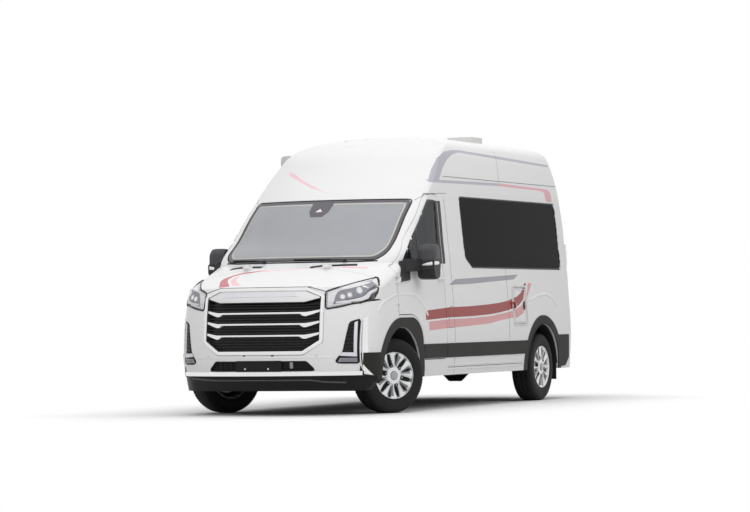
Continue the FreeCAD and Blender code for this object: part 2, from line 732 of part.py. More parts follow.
half_tyre = tyre_width / 2
tyre_shape = wheel_profile_solid([
    (-half_tyre + tyre_corner, tyre_radius), (half_tyre - tyre_corner, tyre_radius),
    (half_tyre - tyre_corner * 0.3, tyre_radius - tyre_corner * 0.4), (half_tyre, tyre_radius - tyre_corner * 1.6),
    (half_tyre, (tyre_radius + rim_radius) / 2), (half_tyre - tyre_corner * 0.7, rim_radius),
    (-half_tyre + tyre_corner * 0.7, rim_radius), (-half_tyre, (tyre_radius + rim_radius) / 2),
    (-half_tyre, tyre_radius - tyre_corner * 1.6), (-half_tyre + tyre_corner * 0.3, tyre_radius - tyre_corner * 0.4),
])
rim_out = half_tyre - tyre_corner * 0.3
dish = 26.0
disc_thickness = 16.0
cap_radius = 62.0
rim_barrel = wheel_profile_solid([
    (-rim_out, rim_radius), (rim_out, rim_radius), (rim_out, rim_radius - rim_wall),
    (rim_out - rim_lip, rim_radius - rim_wall - rim_lip), (-rim_out, rim_radius - rim_wall - rim_lip),
])
disc = wheel_profile_solid([
    (rim_out - dish, 0), (rim_out - dish, cap_radius), (rim_out - rim_lip, rim_radius - rim_wall - rim_lip / 2),
    (rim_out - rim_lip - disc_thickness, rim_radius - rim_wall - rim_lip / 2),
    (rim_out - dish - disc_thickness, cap_radius), (rim_out - dish - disc_thickness, 0),
])
spoke_count = 12
slot_inner = 96.0
slot_outer = rim_radius - rim_wall - rim_lip - 8.0
slot_half_inner = 8.0
slot_half_outer = 26.0
slots = []
for i in range(spoke_count):
    slot = prism([(-slot_half_inner, slot_inner), (slot_half_inner, slot_inner), (slot_half_outer, slot_outer),
                  (-slot_half_outer, slot_outer)], 6.0, "x", -half_tyre, half_tyre)
    slot.rotate(V(0, 0, 0), V(1, 0, 0), 360.0 * i / spoke_count)
    slots.append(slot)
rim_shape = rim_barrel.fuse(disc.cut(Part.makeCompound(slots)))


def set_wheel(shape, side, axle_y, steered):
    """Place a wheel piece whose outer face looks along +x, and turn it about its kingpin."""
    piece = shape.copy() if side > 0 else mirrored(shape)
    piece.translate(V(side * wheel_x, axle_y, tyre_radius))
    if steered:
        piece.rotate(V(side * steer_x, axle_y, 0), V(0, 0, 1), -rest_steer)
    return piece


for side, side_name in ((1, "left"), (-1, "right")):
    for axle_y, end_name in ((front_axle_y, "front"), (rear_axle_y, "rear")):
        steered = end_name == "front"
        node("tyre_" + end_name + "_" + side_name, set_wheel(tyre_shape, side, axle_y, steered))
        node("rim_" + end_name + "_" + side_name, set_wheel(rim_shape, side, axle_y, steered))

# Knuckles and axles. A hub disc seats on the back of each rim's disc.
hub_radius = 58.0
hub_face = wheel_x + rim_out - dish - disc_thickness - wheel_clearance
drum_radius = 140.0
drum_width = 50.0
hub_back = hub_face - drum_width
kingpin_radius = 22.0
kingpin_height = 240.0
hub = joined([
    rod(V(hub_back - wheel_x, 0, 0), V(hub_face - wheel_x, 0, 0), hub_radius),
    rod(V(hub_back - wheel_x - drum_width / 2, 0, 0), V(hub_back - wheel_x, 0, 0), drum_radius),
])
pillar = rod(V(steer_x - wheel_x, 0, -kingpin_height / 2), V(steer_x - wheel_x, 0, kingpin_height / 2), kingpin_radius)
stub = rod(V(steer_x - wheel_x, 0, 0), V(hub_back - wheel_x, 0, 0), kingpin_radius * 1.4)
knuckle = joined([hub, pillar, stub])
node("knuckle_left", set_wheel(knuckle, 1, front_axle_y, True))
node("knuckle_right", set_wheel(knuckle, -1, front_axle_y, True))

# Front suspension: arms and struts that carry the kingpins' ends on the rails
arm_height = 26.0
arm_half = 34.0
pin_end = kingpin_height / 2 + hinge_slack
arms = []
for side in (-1, 1):
    for low in (tyre_radius - pin_end - arm_height, tyre_radius + pin_end):
        x0, x1 = sorted((side * (steer_x + kingpin_radius), side * (rail_x - rail_width / 2)))
        arms.append(box(x0, x1, front_axle_y - arm_half, front_axle_y + arm_half, low, low + arm_height))
    x0, x1 = sorted((side * (rail_x - rail_width / 2), side * (rail_x + rail_width / 2)))
    arms.append(box(x0, x1, front_axle_y - arm_half, front_axle_y + arm_half, tyre_radius - pin_end - arm_height,
                    rail_top - rail_height))
cradle = box(-rail_x, rail_x, front_axle_y - arm_half, front_axle_y + arm_half, tyre_radius - pin_end - arm_height,
             tyre_radius - pin_end)
node("front_suspension", joined(arms + [cradle]).cut(nodes["chassis_rails"]))

# Rear axle and leaf springs
axle_radius = 45.0
axle_tube = rod(V(-hub_back, rear_axle_y, tyre_radius), V(hub_back, rear_axle_y, tyre_radius), axle_radius)
diff_radius = 150.0
diff_half = 180.0
diff_flat_share = 0.35
rear_hubs = [set_wheel(hub, side, rear_axle_y, False) for side in (-1, 1)]
diff = wheel_profile_solid([
    (-diff_half, 0), (-diff_half, axle_radius + hinge_slack), (-diff_half * diff_flat_share, diff_radius),
    (diff_half * diff_flat_share, diff_radius), (diff_half, axle_radius + hinge_slack), (diff_half, 0),
])
diff.translate(V(0, rear_axle_y, tyre_radius))
node("rear_axle", joined([axle_tube, diff] + rear_hubs))
spring_half = 640.0
spring_width = 64.0
spring_height = 40.0
spring_sag = 60.0


def leaf_spring(side):
    """Curved spring pack over the axle, its eyes up at the rail."""
    base = tyre_radius + axle_radius
    ends = rail_top - rail_height - spring_height
    x0 = side * rail_x - spring_width / 2
    low = [V(x0, rear_axle_y - spring_half, ends), V(x0, rear_axle_y, base), V(x0, rear_axle_y + spring_half, ends)]
    high = [p + V(0, 0, spring_height) for p in low]
    edges = [Part.Arc(*low).toShape(), Part.makeLine(low[2], high[2]), Part.Arc(*reversed(high)).toShape(),
             Part.makeLine(high[0], low[0])]
    return Part.Face(Part.Wire(edges)).extrude(V(spring_width, 0, 0))


node("leaf_springs", Part.makeCompound([leaf_spring(-1), leaf_spring(1)]))

# Fuel tank, spare wheel carrier and silencer
tank = prism([(front_axle_y + 900.0, 330.0), (front_axle_y + 1750.0, 330.0), (front_axle_y + 1750.0, rail_top),
              (front_axle_y + 900.0, rail_top)], 30.0, "x", rail_x + rail_width / 2, half_width - 3 * wall)
node("fuel_tank", tank)
silencer = prism([(-rail_x - rail_width / 2 - 260.0, 350.0), (-rail_x - rail_width / 2, 350.0),
                  (-rail_x - rail_width / 2, 520.0), (-rail_x - rail_width / 2 - 260.0, 520.0)], 60.0, "y",
                 front_axle_y + 1000.0, front_axle_y + 1800.0)
pipe_radius = 28.0
tail_pipe = rod(V(-rail_x - 160.0, front_axle_y + 1790.0, 435.0), V(-rail_x - 160.0, rear_axle_y - 560.0, 435.0),
                pipe_radius)
hanger = box(-rail_x - rail_width / 2 - 120.0, -rail_x - rail_width / 2 - 60.0, front_axle_y + 1350.0,
             front_axle_y + 1420.0, 500.0, floor_low)
node("exhaust", joined([silencer, tail_pipe, hanger]))

# Rear bumper with a step
bumper_low = 345.0
bumper_high = rear_door_bottom - panel_gap
rear_bumper = prism([(rear_face - 2 * rear_radius, bumper_low + 30.0), (half_length - 40.0, bumper_low),
                     (half_length, bumper_low + 40.0), (half_length, bumper_high - 40.0),
                     (half_length - 15.0, bumper_high - 12.0), (rear_face - 2 * rear_radius, bumper_high)],
                    0, "x", -half_width + 30.0, half_width - 30.0)
bumper_plan = [(half_width - 30.0, rear_face - 2 * rear_radius), (half_width - 30.0, rear_face - 65.0),
               (860.0, half_length)]
bumper_plan_prism = prism(both_sides(bumper_plan), 0, "z", bumper_low, bumper_high)
rear_bumper = rear_bumper.common(bumper_plan_prism).cut(outer)
node("rear_bumper", rear_bumper)

# Mud flaps behind the rear wheels
flap_thickness = 6.0
mud_share = 0.93
mud_y = rear_axle_y + arch_radius * mud_share
mud_low = 215.0
mud_high = floor_low - panel_gap
mud = box(wheel_x - half_tyre, half_width - wall / 2, mud_y - flap_thickness, mud_y + flap_thickness, mud_low, mud_high)
mud = mud.common(arch_cylinder(rear_axle_y, arch_radius + liner_wall, 0, half_width)).cut(left_side)
node("mud_flaps", Part.makeCompound([mud, mirrored(mud)]))

# Mirrors on the doors
mirror_housing = prism([(place_y(365.0), 1285.0), (place_y(420.0), 1268.0), (place_y(475.0), 1275.0),
                        (place_y(500.0), 1310.0), (place_y(505.0), 1570.0), (place_y(475.0), 1608.0),
                        (place_y(400.0), 1612.0), (place_y(352.0), 1560.0), (place_y(345.0), 1350.0)], 12.0, "x",
                       1040.0, 1215.0)
mirror_arm = prism([(950.0, place_y(90.0)), (1005.0, place_y(100.0)), (1100.0, place_y(360.0)),
                    (1100.0, place_y(440.0)), (1045.0, place_y(430.0)), (950.0, place_y(205.0))], 8.0, "z",
                   1400.0, 1468.0)
mirror_foot = prism([(place_y(10.0), 1240.0), (place_y(205.0), 1240.0), (place_y(215.0), 1450.0),
                     (place_y(95.0), 1450.0)], 8.0, "x", 950.0, 1016.0)
mirror = joined([mirror_housing, mirror_arm, mirror_foot]).cut(outer).cut(joined(door_leaves))
node("mirror_left", mirror)
node("mirror_right", mirrored(mirror))

# Dashboard and steering wheel
dash_front_y = place_y(60.0)
dash_top = shelf_low - hinge_slack
dash = prism([(dash_front_y, dash_top), (dash_front_y, 900.0), (place_y(300.0), 860.0), (place_y(420.0), 1000.0),
              (place_y(430.0), 1230.0), (place_y(380.0), dash_top)], [0, 25.0, 25.0, 25.0, 25.0, 25.0], "x",
             -880.0, 880.0)
dash = dash.common(inner)
column_tilt = 28.0
steering_centre = V(430.0, place_y(610.0), 1215.0)
steering_axis = V(0, math.cos(math.radians(column_tilt)), math.sin(math.radians(column_tilt)))
ring_radius = 195.0
ring_thick = 15.0
ring = Part.makeTorus(ring_radius, ring_thick, steering_centre, steering_axis)
boss = Part.makeCylinder(65.0, 60.0, steering_centre - steering_axis * 50.0, steering_axis)
spokes = []
for angle in (0.0, 120.0, 240.0):
    spoke = box(-14.0, 14.0, 30.0, ring_radius, -6.0, 6.0)
    spoke.rotate(V(0, 0, 0), V(0, 0, 1), angle + 60.0)
    spoke.rotate(V(0, 0, 0), V(1, 0, 0), column_tilt - 90.0)
    spoke.translate(steering_centre)
    spokes.append(spoke)
node("steering_wheel", joined([ring, boss] + spokes))
column_start = steering_centre - steering_axis * (50.0 + hinge_slack)
column = rod(column_start, column_start - steering_axis * 160.0, 32.0)
node("dashboard", joined([dash, column]))

# Seats: base, cushion, back and headrest of each front seat
seat_y = place_y(760.0)


def seat(x):
    """Cushion, back and headrest of one seat on two posts, as one plain form."""
    cushion = prism([(seat_y, seat_low), (seat_y, 1060.0), (seat_y + 500.0, 1040.0), (seat_y + 500.0, seat_low)],
                    [0, 30.0, 0, 0], "x", x - 250.0, x + 250.0)
    back = prism([(seat_y + 440.0, seat_low), (seat_y + 570.0, seat_low), (seat_y + 720.0, 1640.0),
                  (seat_y + 620.0, 1650.0)], [0, 0, 30.0, 30.0], "x", x - 240.0, x + 240.0)
    head = prism([(seat_y + 640.0, 1680.0), (seat_y + 730.0, 1675.0), (seat_y + 770.0, 1860.0),
                  (seat_y + 690.0, 1870.0)], 25.0, "x", x - 130.0, x + 130.0)
    posts = [rod(V(x + s, seat_y + 665.0, 1600.0), V(x + s, seat_y + 700.0, 1760.0), 8.0) for s in (-60.0, 60.0)]
    return joined([cushion, back, head] + posts)


seat_low = 945.0
seat_x = 430.0
node("seats", Part.makeCompound([seat(seat_x), seat(-seat_x)]))
bases = [box(s * seat_x - 210.0, s * seat_x + 210.0, seat_y + 40.0, seat_y + 430.0, floor_height, seat_low - hinge_slack)
         for s in (-1, 1)]
node("seat_bases", Part.makeCompound(bases))

# Kitchen unit and bench in the living space
kitchen = box(half_width - 620.0, half_width - 2 * wall, place_y(3300.0), place_y(4500.0), floor_height, 1330.0)
bench = box(-half_width + 2 * wall, -half_width + 700.0, place_y(2750.0), place_y(4400.0), floor_height, 1090.0)
house_left = arch_cylinder(rear_axle_y, arch_radius + liner_wall, arch_inner_x - liner_wall, half_width)
node("furniture", Part.makeCompound([kitchen.cut(house_left), bench.cut(mirrored(house_left))]))

# Roof vent with a lid, and the awning's case along the right roof edge
vent_x = 200.0
vent_y = 1750.0
vent_half_width = 140.0
vent_half_length = 150.0
vent_rim = 30.0
vent_sink = 20.0
vent_rise = 50.0
lid_thickness = 35.0


def vent_box(shrink, low, high):
    """Box round the vent's middle, drawn in from its edge on all four sides."""
    x = vent_half_width - shrink
    y = vent_half_length - shrink
    return box(vent_x - x, vent_x + x, vent_y - y, vent_y + y, roof_height + low, roof_height + high)


vent_frame = vent_box(0, -vent_sink, vent_rise).cut(vent_box(vent_rim, -vent_sink, vent_rise))
node("roof_vent", vent_frame.cut(outer))
node("roof_vent_lid", vent_box(0, vent_rise + hinge_slack, vent_rise + lid_thickness))
awning = prism([(-850.0, 2455.0), (-985.0, 2462.0), (-1003.0, 2490.0), (-1000.0, 2545.0), (-960.0, 2575.0),
                (-790.0, 2570.0)], 10.0, "y", place_y(1585.0), place_y(4300.0))
node("awning_case", awning.cut(outer))

for name, shape in nodes.items():
    shape.exportStep("parts/" + name + ".step")
    print(name, len(shape.Solids), shape.isValid(), [round(solid.Volume / 1e6, 2) for solid in shape.Solids])
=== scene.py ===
import json
import math

import bpy
import numpy as np
from mathutils import Matrix, Vector
from mathutils.bvhtree import BVHTree


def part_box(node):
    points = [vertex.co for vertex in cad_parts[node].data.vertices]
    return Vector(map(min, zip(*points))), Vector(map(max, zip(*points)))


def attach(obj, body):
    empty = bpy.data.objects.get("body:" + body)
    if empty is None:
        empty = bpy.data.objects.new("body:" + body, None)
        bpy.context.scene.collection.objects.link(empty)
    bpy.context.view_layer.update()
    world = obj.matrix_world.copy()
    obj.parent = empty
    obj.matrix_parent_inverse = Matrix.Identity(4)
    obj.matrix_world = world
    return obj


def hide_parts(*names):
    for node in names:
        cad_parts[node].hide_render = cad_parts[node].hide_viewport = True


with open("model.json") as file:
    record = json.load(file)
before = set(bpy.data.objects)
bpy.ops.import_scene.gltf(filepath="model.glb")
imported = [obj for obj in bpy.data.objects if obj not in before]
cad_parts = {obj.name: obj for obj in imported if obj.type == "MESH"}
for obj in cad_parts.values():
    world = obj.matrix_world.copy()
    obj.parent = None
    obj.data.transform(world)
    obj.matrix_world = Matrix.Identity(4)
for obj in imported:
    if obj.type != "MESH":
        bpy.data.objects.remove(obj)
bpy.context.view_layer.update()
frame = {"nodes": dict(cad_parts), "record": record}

nodes = frame["nodes"]
joints = {joint["name"]: joint for joint in frame["record"]["behaviour"]["joints"]}

# Camera: place in metres, focal length and shift in pixels of a frame 750 wide
IMAGE_WIDTH = 750
CAMERA_FOCAL_PX = 3020.5
CAMERA_PLACE = (12.515, -28.219, 0.942)
CAMERA_AZIMUTH = math.radians(23.32)
CAMERA_PITCH = math.radians(1.09)
CAMERA_ROLL = math.radians(0.80)
CAMERA_SHIFT_PX = 39.7
CAMERA_SENSOR_MM = 36.0

# Places and radii on the van, in metres, and where its walls, bonnet and cab begin for the painted bands
FRONT_AXLE = -1.885
REAR_AXLE = 1.875
WHEEL_RADIUS = 0.356
ARCH_RADIUS = 0.470
LINER_RADIUS = 0.456
WALL_VIEW_X = 0.6
NOSE_TOP_Z = 1.1
CAB_END_Y = -0.5


class Graph:
    """Short way to place and link shader nodes in one tree."""

    def __init__(self, tree):
        self.tree = tree

    def add(self, kind, **settings):
        made = self.tree.nodes.new(kind)
        for name, value in settings.items():
            setattr(made, name, value)
        return made

    def feed(self, socket, value):
        if isinstance(value, bpy.types.NodeSocket):
            self.tree.links.new(value, socket)
        elif hasattr(value, "__len__") and len(value) == 3 and socket.type == "RGBA":
            socket.default_value = (*value, 1.0)
        else:
            socket.default_value = value

    def math(self, operation, a, b=0.0, clamp=False):
        made = self.add("ShaderNodeMath", operation=operation, use_clamp=clamp)
        self.feed(made.inputs[0], a)
        self.feed(made.inputs[1], b)
        return made.outputs[0]

    def mix(self, mask, a, b):
        made = self.add("ShaderNodeMix", data_type="RGBA")
        self.feed(made.inputs["Factor"], mask)
        self.feed(made.inputs[6], a)
        self.feed(made.inputs[7], b)
        return made.outputs[2]

    def group(self, tree, **values):
        made = self.add("ShaderNodeGroup", node_tree=tree)
        for name, value in values.items():
            self.feed(made.inputs[name.replace("_", " ")], value)
        return made

    def curve(self, value, points):
        """Straight-line curve through points of the unit square."""
        made = self.add("ShaderNodeFloatCurve")
        line = made.mapping.curves[0]
        for _ in range(len(points) - 2):
            line.points.new(0.5, 0.5)
        for point, (a, b) in zip(line.points, points):
            point.location = (a, b)
            point.handle_type = "VECTOR"
        made.mapping.update()
        self.feed(made.inputs["Value"], value)
        return made.outputs[0]

    def split(self, vector):
        """X, Y and Z of a vector."""
        made = self.add("ShaderNodeSeparateXYZ")
        self.feed(made.inputs[0], vector)
        return made.outputs

    def noise(self, vector, scale, detail=2.0):
        made = self.add("ShaderNodeTexNoise")
        self.feed(made.inputs["Vector"], vector)
        self.feed(made.inputs["Scale"], scale)
        made.inputs["Detail"].default_value = detail
        return made.outputs["Fac"]

    def shaded(self, colour, shade):
        """Colour times shade."""
        made = self.add("ShaderNodeMix", data_type="RGBA", blend_type="MULTIPLY")
        made.inputs["Factor"].default_value = 1.0
        self.feed(made.inputs[6], colour)
        self.feed(made.inputs[7], shade)
        return made.outputs[2]

    def bump(self, shader, height, strength):
        """Relief in the shader's normal, one millimetre deep at full strength."""
        made = self.add("ShaderNodeBump")
        made.inputs["Strength"].default_value = strength
        made.inputs["Distance"].default_value = 0.001
        self.feed(made.inputs["Height"], height)
        self.feed(shader.inputs["Normal"], made.outputs["Normal"])


def new_group(name, inputs, outputs):
    """Shader node group with named sockets: inputs are (name, kind, default), outputs (name, kind)."""
    tree = bpy.data.node_groups.new(name, "ShaderNodeTree")
    kinds = {"value": "NodeSocketFloat", "colour": "NodeSocketColor", "vector": "NodeSocketVector"}
    for label, kind, default in inputs:
        socket = tree.interface.new_socket(label, in_out="INPUT", socket_type=kinds[kind])
        if default is not None:
            socket.default_value = default
    for label, kind in outputs:
        tree.interface.new_socket(label, in_out="OUTPUT", socket_type=kinds[kind])
    graph = Graph(tree)
    start = graph.add("NodeGroupInput")
    end = graph.add("NodeGroupOutput")
    return tree, graph, start.outputs, end.inputs


def grain_group():
    """Fine moulded grain: a height from one noise, and a slow change of tone and gloss from another."""
    tree, graph, given, out = new_group(
        "surface_grain",
        [("Vector", "vector", None), ("Scale", "value", 400.0), ("Tone", "value", 0.1)],
        [("Height", "value"), ("Shade", "value"), ("Rough", "value")])
    fine = graph.noise(given["Vector"], given["Scale"], 4.0)
    slow = graph.noise(given["Vector"], 3.0)
    graph.feed(out["Height"], fine)
    drift = graph.math("MULTIPLY", graph.math("SUBTRACT", slow, 0.5), given["Tone"])
    graph.feed(out["Shade"], graph.math("ADD", drift, 1.0))
    graph.feed(out["Rough"], graph.math("MULTIPLY", slow, 0.12))
    return tree


def dirt_group():
    """Road dust: more towards the ground, broken up by a noise."""
    tree, graph, given, out = new_group(
        "road_dust", [("Vector", "vector", None), ("Top", "value", 0.6)], [("Mask", "value")])
    height = graph.math("DIVIDE", graph.split(given["Vector"])["Z"], given["Top"])
    low = graph.math("SUBTRACT", 1.0, height, clamp=True)
    graph.feed(out["Mask"], graph.math("MULTIPLY", low, graph.noise(given["Vector"], 9.0, 6.0)))
    return tree


GRAIN = grain_group()
DUST = dirt_group()
DUST_COLOUR = (0.16, 0.15, 0.14)


def base_material(name):
    """Material with one Principled shader, and the graph to feed it."""
    material = bpy.data.materials.new(name)
    material.use_nodes = True
    graph = Graph(material.node_tree)
    shader = material.node_tree.nodes["Principled BSDF"]
    place = graph.add("ShaderNodeTexCoord").outputs["Object"]
    return material, graph, shader, place


def finish_surface(graph, shader, place, colour, roughness, scale, bump, tone, dust, metallic, coat, gloss=0.5):
    """Feed a colour, broken by tone and dust, with roughness and a fine bump, into the shader."""
    shader.inputs["Specular IOR Level"].default_value = gloss
    grain = graph.group(GRAIN, Vector=place, Scale=scale, Tone=tone)
    toned = graph.shaded(colour, grain.outputs["Shade"])
    if dust:
        layer = graph.math("MULTIPLY", graph.group(DUST, Vector=place).outputs["Mask"], dust)
        toned = graph.mix(layer, toned, DUST_COLOUR)
    graph.feed(shader.inputs["Base Color"], toned)
    graph.feed(shader.inputs["Roughness"], graph.math("ADD", grain.outputs["Rough"], roughness))
    shader.inputs["Metallic"].default_value = metallic
    shader.inputs["Coat Weight"].default_value = coat
    graph.bump(shader, grain.outputs["Height"], bump)


def grained(name, colour, roughness, scale=400.0, bump=0.05, tone=0.1, dust=0.0, metallic=0.0, coat=0.0,
            gloss=0.12):
    """Plain finish with a slow change of tone and gloss and a fine bump."""
    material, graph, shader, place = base_material(name)
    finish_surface(graph, shader, place, colour, roughness, scale, bump, tone, dust, metallic, coat, gloss)
    return material


def clear_glass(name, colour, alpha, gloss=0.1, roughness=0.03, tone=0.06):
    """Thin tinted pane: see-through by alpha, with a glossy face."""
    material, graph, shader, place = base_material(name)
    grain = graph.group(GRAIN, Vector=place, Scale=2.0, Tone=tone)
    graph.feed(shader.inputs["Base Color"], graph.shaded(colour, grain.outputs["Shade"]))
    shader.inputs["Roughness"].default_value = roughness
    shader.inputs["Specular IOR Level"].default_value = gloss
    graph.feed(shader.inputs["Alpha"], graph.math("MULTIPLY", grain.outputs["Shade"], alpha, clamp=True))
    return material


# Stripes: each band is (colour, low edge, high edge) with edges as (y, z) points on the van's side
STRIPE_SPAN = (-1.5, 4.2, 0.7, 2.0)
EDGE_SHARPNESS = 700.0
RED = (0.34, 0.028, 0.024)
PINK = (0.76, 0.37, 0.38)
GREY = (0.36, 0.365, 0.39)
PALE_GREY = (0.50, 0.49, 0.55)
ROOF_PINK = (0.82, 0.43, 0.47)
SIDE_BANDS = [
    (PINK,
     [(-1.204, 0.774), (-0.711, 0.794), (-0.189, 0.809), (0.351, 0.829), (0.629, 0.858), (1.05, 0.885),
      (1.11, 0.882), (1.30, 0.925), (1.39, 1.035), (1.475, 1.12), (1.585, 1.225), (1.606, 1.246)],
     [(-1.233, 0.862), (-0.699, 0.882), (-0.177, 0.889), (0.364, 0.906), (0.643, 0.925), (0.869, 0.944),
      (1.09, 0.969), (1.30, 1.02), (1.455, 1.152), (1.490, 1.246), (1.606, 1.246)]),
    (RED,
     [(-1.256, 0.877), (-0.699, 0.897), (-0.177, 0.904), (0.364, 0.921), (0.643, 0.940), (0.869, 0.959),
      (0.969, 0.975), (1.09, 0.990), (1.193, 1.015), (1.33, 1.075), (1.385, 1.19), (1.458, 1.246)],
     [(-1.302, 0.969), (-0.681, 1.001), (-0.158, 1.009), (0.383, 1.028), (0.662, 1.043), (0.890, 1.063),
      (1.007, 1.083), (1.15, 1.105), (1.27, 1.145), (1.34, 1.20), (1.385, 1.246), (1.458, 1.246)]),
    (GREY,
     [(-0.663, 1.219), (-0.114, 1.230), (0.430, 1.253), (1.107, 1.282), (1.234, 1.335)],
     [(-0.663, 1.220), (-0.496, 1.279), (-0.100, 1.291), (0.444, 1.309), (1.234, 1.336)]),
    (PALE_GREY,
     [(-0.872, 2.231), (-0.123, 2.239), (0.957, 2.252)],
     [(-0.872, 2.261), (-0.110, 2.270), (0.957, 2.283)]),
    (ROOF_PINK,
     [(0.957, 2.252), (2.029, 2.241), (2.20, 2.236), (2.25, 2.215), (2.262, 2.125), (2.437, 2.125)],
     [(0.957, 2.283), (2.040, 2.268), (2.30, 2.266), (2.40, 2.250), (2.437, 2.215), (2.438, 2.15)]),
    (PALE_GREY,
     [(-0.874, 2.243), (-0.659, 2.261), (-0.502, 2.386), (-0.341, 2.474), (-0.168, 2.532), (0.013, 2.562),
      (0.108, 2.564), (1.152, 2.539), (2.533, 2.509)],
     [(-0.874, 2.244), (-0.723, 2.369), (-0.552, 2.490), (-0.364, 2.557), (-0.109, 2.588), (0.116, 2.593),
      (1.183, 2.569), (2.533, 2.538)]),
]
# Bonnet crescents in plan: edges as (y, x) points, and the thin lines they end in as (x, y) points
CRESCENT_SPAN = (-2.8, 0.6, -0.8, 0.8)
BONNET_RED = (0.56, 0.10, 0.125)
BONNET_PINK = (0.90, 0.56, 0.60)
CRESCENT_BANDS = [
    (BONNET_RED,
     [(-2.72, -0.50), (-2.624, -0.540), (-2.556, -0.573), (-2.492, -0.591), (-2.430, -0.590), (-2.395, -0.554),
      (-2.357, -0.509), (-2.330, -0.45), (-2.322, -0.36), (-2.310, -0.17)],
     [(-2.72, -0.385), (-2.668, -0.417), (-2.599, -0.462), (-2.530, -0.500), (-2.467, -0.518), (-2.417, -0.500),
      (-2.386, -0.462), (-2.365, -0.409), (-2.352, -0.30), (-2.310, -0.17)]),
    (BONNET_PINK,
     [(-2.72, -0.355), (-2.678, -0.380), (-2.611, -0.427), (-2.543, -0.464), (-2.514, -0.468), (-2.475, -0.461),
      (-2.425, -0.43)],
     [(-2.72, -0.26), (-2.686, -0.292), (-2.601, -0.366), (-2.533, -0.410), (-2.489, -0.416), (-2.425, -0.42)]),
]
BONNET_SPAN = (-0.7, 1.6, -2.8, 0.8)
BONNET_BANDS = [
    (BONNET_PINK,
     [(-0.25, -2.352), (-0.10, -2.338), (0.10, -2.312), (0.30, -2.275), (0.53, -2.215)],
     [(-0.25, -2.325), (-0.10, -2.315), (0.10, -2.292), (0.30, -2.258), (0.53, -2.200)]),
    (BONNET_PINK,
     [(0.54, -2.205), (0.657, -2.165), (0.770, -2.118)],
     [(0.54, -2.160), (0.657, -2.125), (0.770, -2.080)]),
]
# Fairing swoosh in front view: edges as (x, z) points
FAIRING_SPAN = (-0.8, 1.6, 1.8, 0.8)
FAIRING_BANDS = [
    ((0.93, 0.617, 0.672),
     [(-0.661, 2.385), (-0.608, 2.338), (-0.421, 2.267), (-0.255, 2.202), (0.014, 2.127)],
     [(-0.661, 2.386), (-0.551, 2.356), (-0.447, 2.304), (-0.277, 2.235), (-0.121, 2.173), (0.014, 2.128)]),
]


def painted_bands(graph, colour, bands, span, along, across, keep):
    """Lay bands over a colour. A band shows where its low edge < across < its high edge, between its ends."""
    start, length, base, height = span
    share = graph.math("DIVIDE", graph.math("SUBTRACT", along, start), length)
    for tint, low, high in bands:
        edges = [graph.curve(share, [((a - start) / length, (b - base) / height) for a, b in line])
                 for line in (low, high)]
        level = graph.math("DIVIDE", graph.math("SUBTRACT", across, base), height)
        over = graph.math("MULTIPLY", graph.math("SUBTRACT", level, edges[0]), EDGE_SHARPNESS, clamp=True)
        under = graph.math("MULTIPLY", graph.math("SUBTRACT", edges[1], level), EDGE_SHARPNESS, clamp=True)
        ends = (min(low[0][0], high[0][0]), max(low[-1][0], high[-1][0]))
        after = graph.math("MULTIPLY", graph.math("SUBTRACT", along, ends[0]), EDGE_SHARPNESS, clamp=True)
        before = graph.math("MULTIPLY", graph.math("SUBTRACT", ends[1], along), EDGE_SHARPNESS, clamp=True)
        mask = keep
        for part in (over, under, after, before):
            mask = graph.math("MULTIPLY", mask, part)
        colour = graph.mix(mask, colour, tint)
    return colour


PAINT_COLOUR = (0.86, 0.86, 0.865)


def paint(name, *layers):
    """White coachwork paint with bands in its own coat. Each layer is (bands, span, side it is seen from)."""
    material, graph, shader, place = base_material(name)
    x, y, z = graph.split(place)
    colour = PAINT_COLOUR
    for bands, span, view in layers:
        along, across, keep = {
            "side": (y, z, graph.math("GREATER_THAN", graph.math("ABSOLUTE", x), WALL_VIEW_X)),
            "top": (x, y, graph.math("GREATER_THAN", z, NOSE_TOP_Z)),
            "nose": (y, x, graph.math("GREATER_THAN", z, NOSE_TOP_Z)),
            "front": (x, z, graph.math("LESS_THAN", y, CAB_END_Y)),
        }[view]
        colour = painted_bands(graph, colour, bands, span, along, across, keep)
    finish_surface(graph, shader, place, colour, 0.16, 900.0, 0.006, 0.015, 0.12, 0.0, 0.08, 0.2)
    return material


PAINT = paint("body_paint")
SIDE_PAINT = paint("side_paint", (SIDE_BANDS[:3], STRIPE_SPAN, "side"))
UPPER_PAINT = paint("upper_side_paint", (SIDE_BANDS, STRIPE_SPAN, "side"))
CAP_PAINT = paint("roof_paint", (SIDE_BANDS[3:], STRIPE_SPAN, "side"), (FAIRING_BANDS, FAIRING_SPAN, "front"))
BONNET_PAINT = paint("bonnet_paint", (CRESCENT_BANDS, CRESCENT_SPAN, "nose"), (BONNET_BANDS, BONNET_SPAN, "top"))
BLACK = grained("black_trim", (0.028, 0.028, 0.030), 0.45, scale=1200.0, bump=0.25, dust=0.08)
SKIRT = grained("skirt_black", (0.010, 0.010, 0.011), 0.35, scale=1200.0, bump=0.1, dust=0.08)
CLADDING = grained("dark_cladding", (0.026, 0.028, 0.025), 0.5, scale=1500.0, bump=0.35, dust=0.1)
GLOSS_BLACK = grained("gloss_black", (0.010, 0.010, 0.011), 0.15, scale=900.0, bump=0.02, coat=0.1)
SEAM = grained("panel_seam", (0.16, 0.16, 0.16), 0.6, scale=900.0, bump=0.02)
SEAL = grained("screen_border", (0.15, 0.145, 0.16), 0.3, scale=600.0, bump=0.05)
CHROME = grained("bright_trim", (0.80, 0.80, 0.81), 0.10, scale=600.0, bump=0.004, metallic=1.0)
LILAC = grained("lilac_panel", (0.82, 0.82, 0.87), 0.2, scale=600.0, bump=0.01, coat=0.5)
STEEL = grained("underbody", (0.020, 0.020, 0.021), 0.6, scale=200.0, bump=0.3, tone=0.4, dust=0.12)
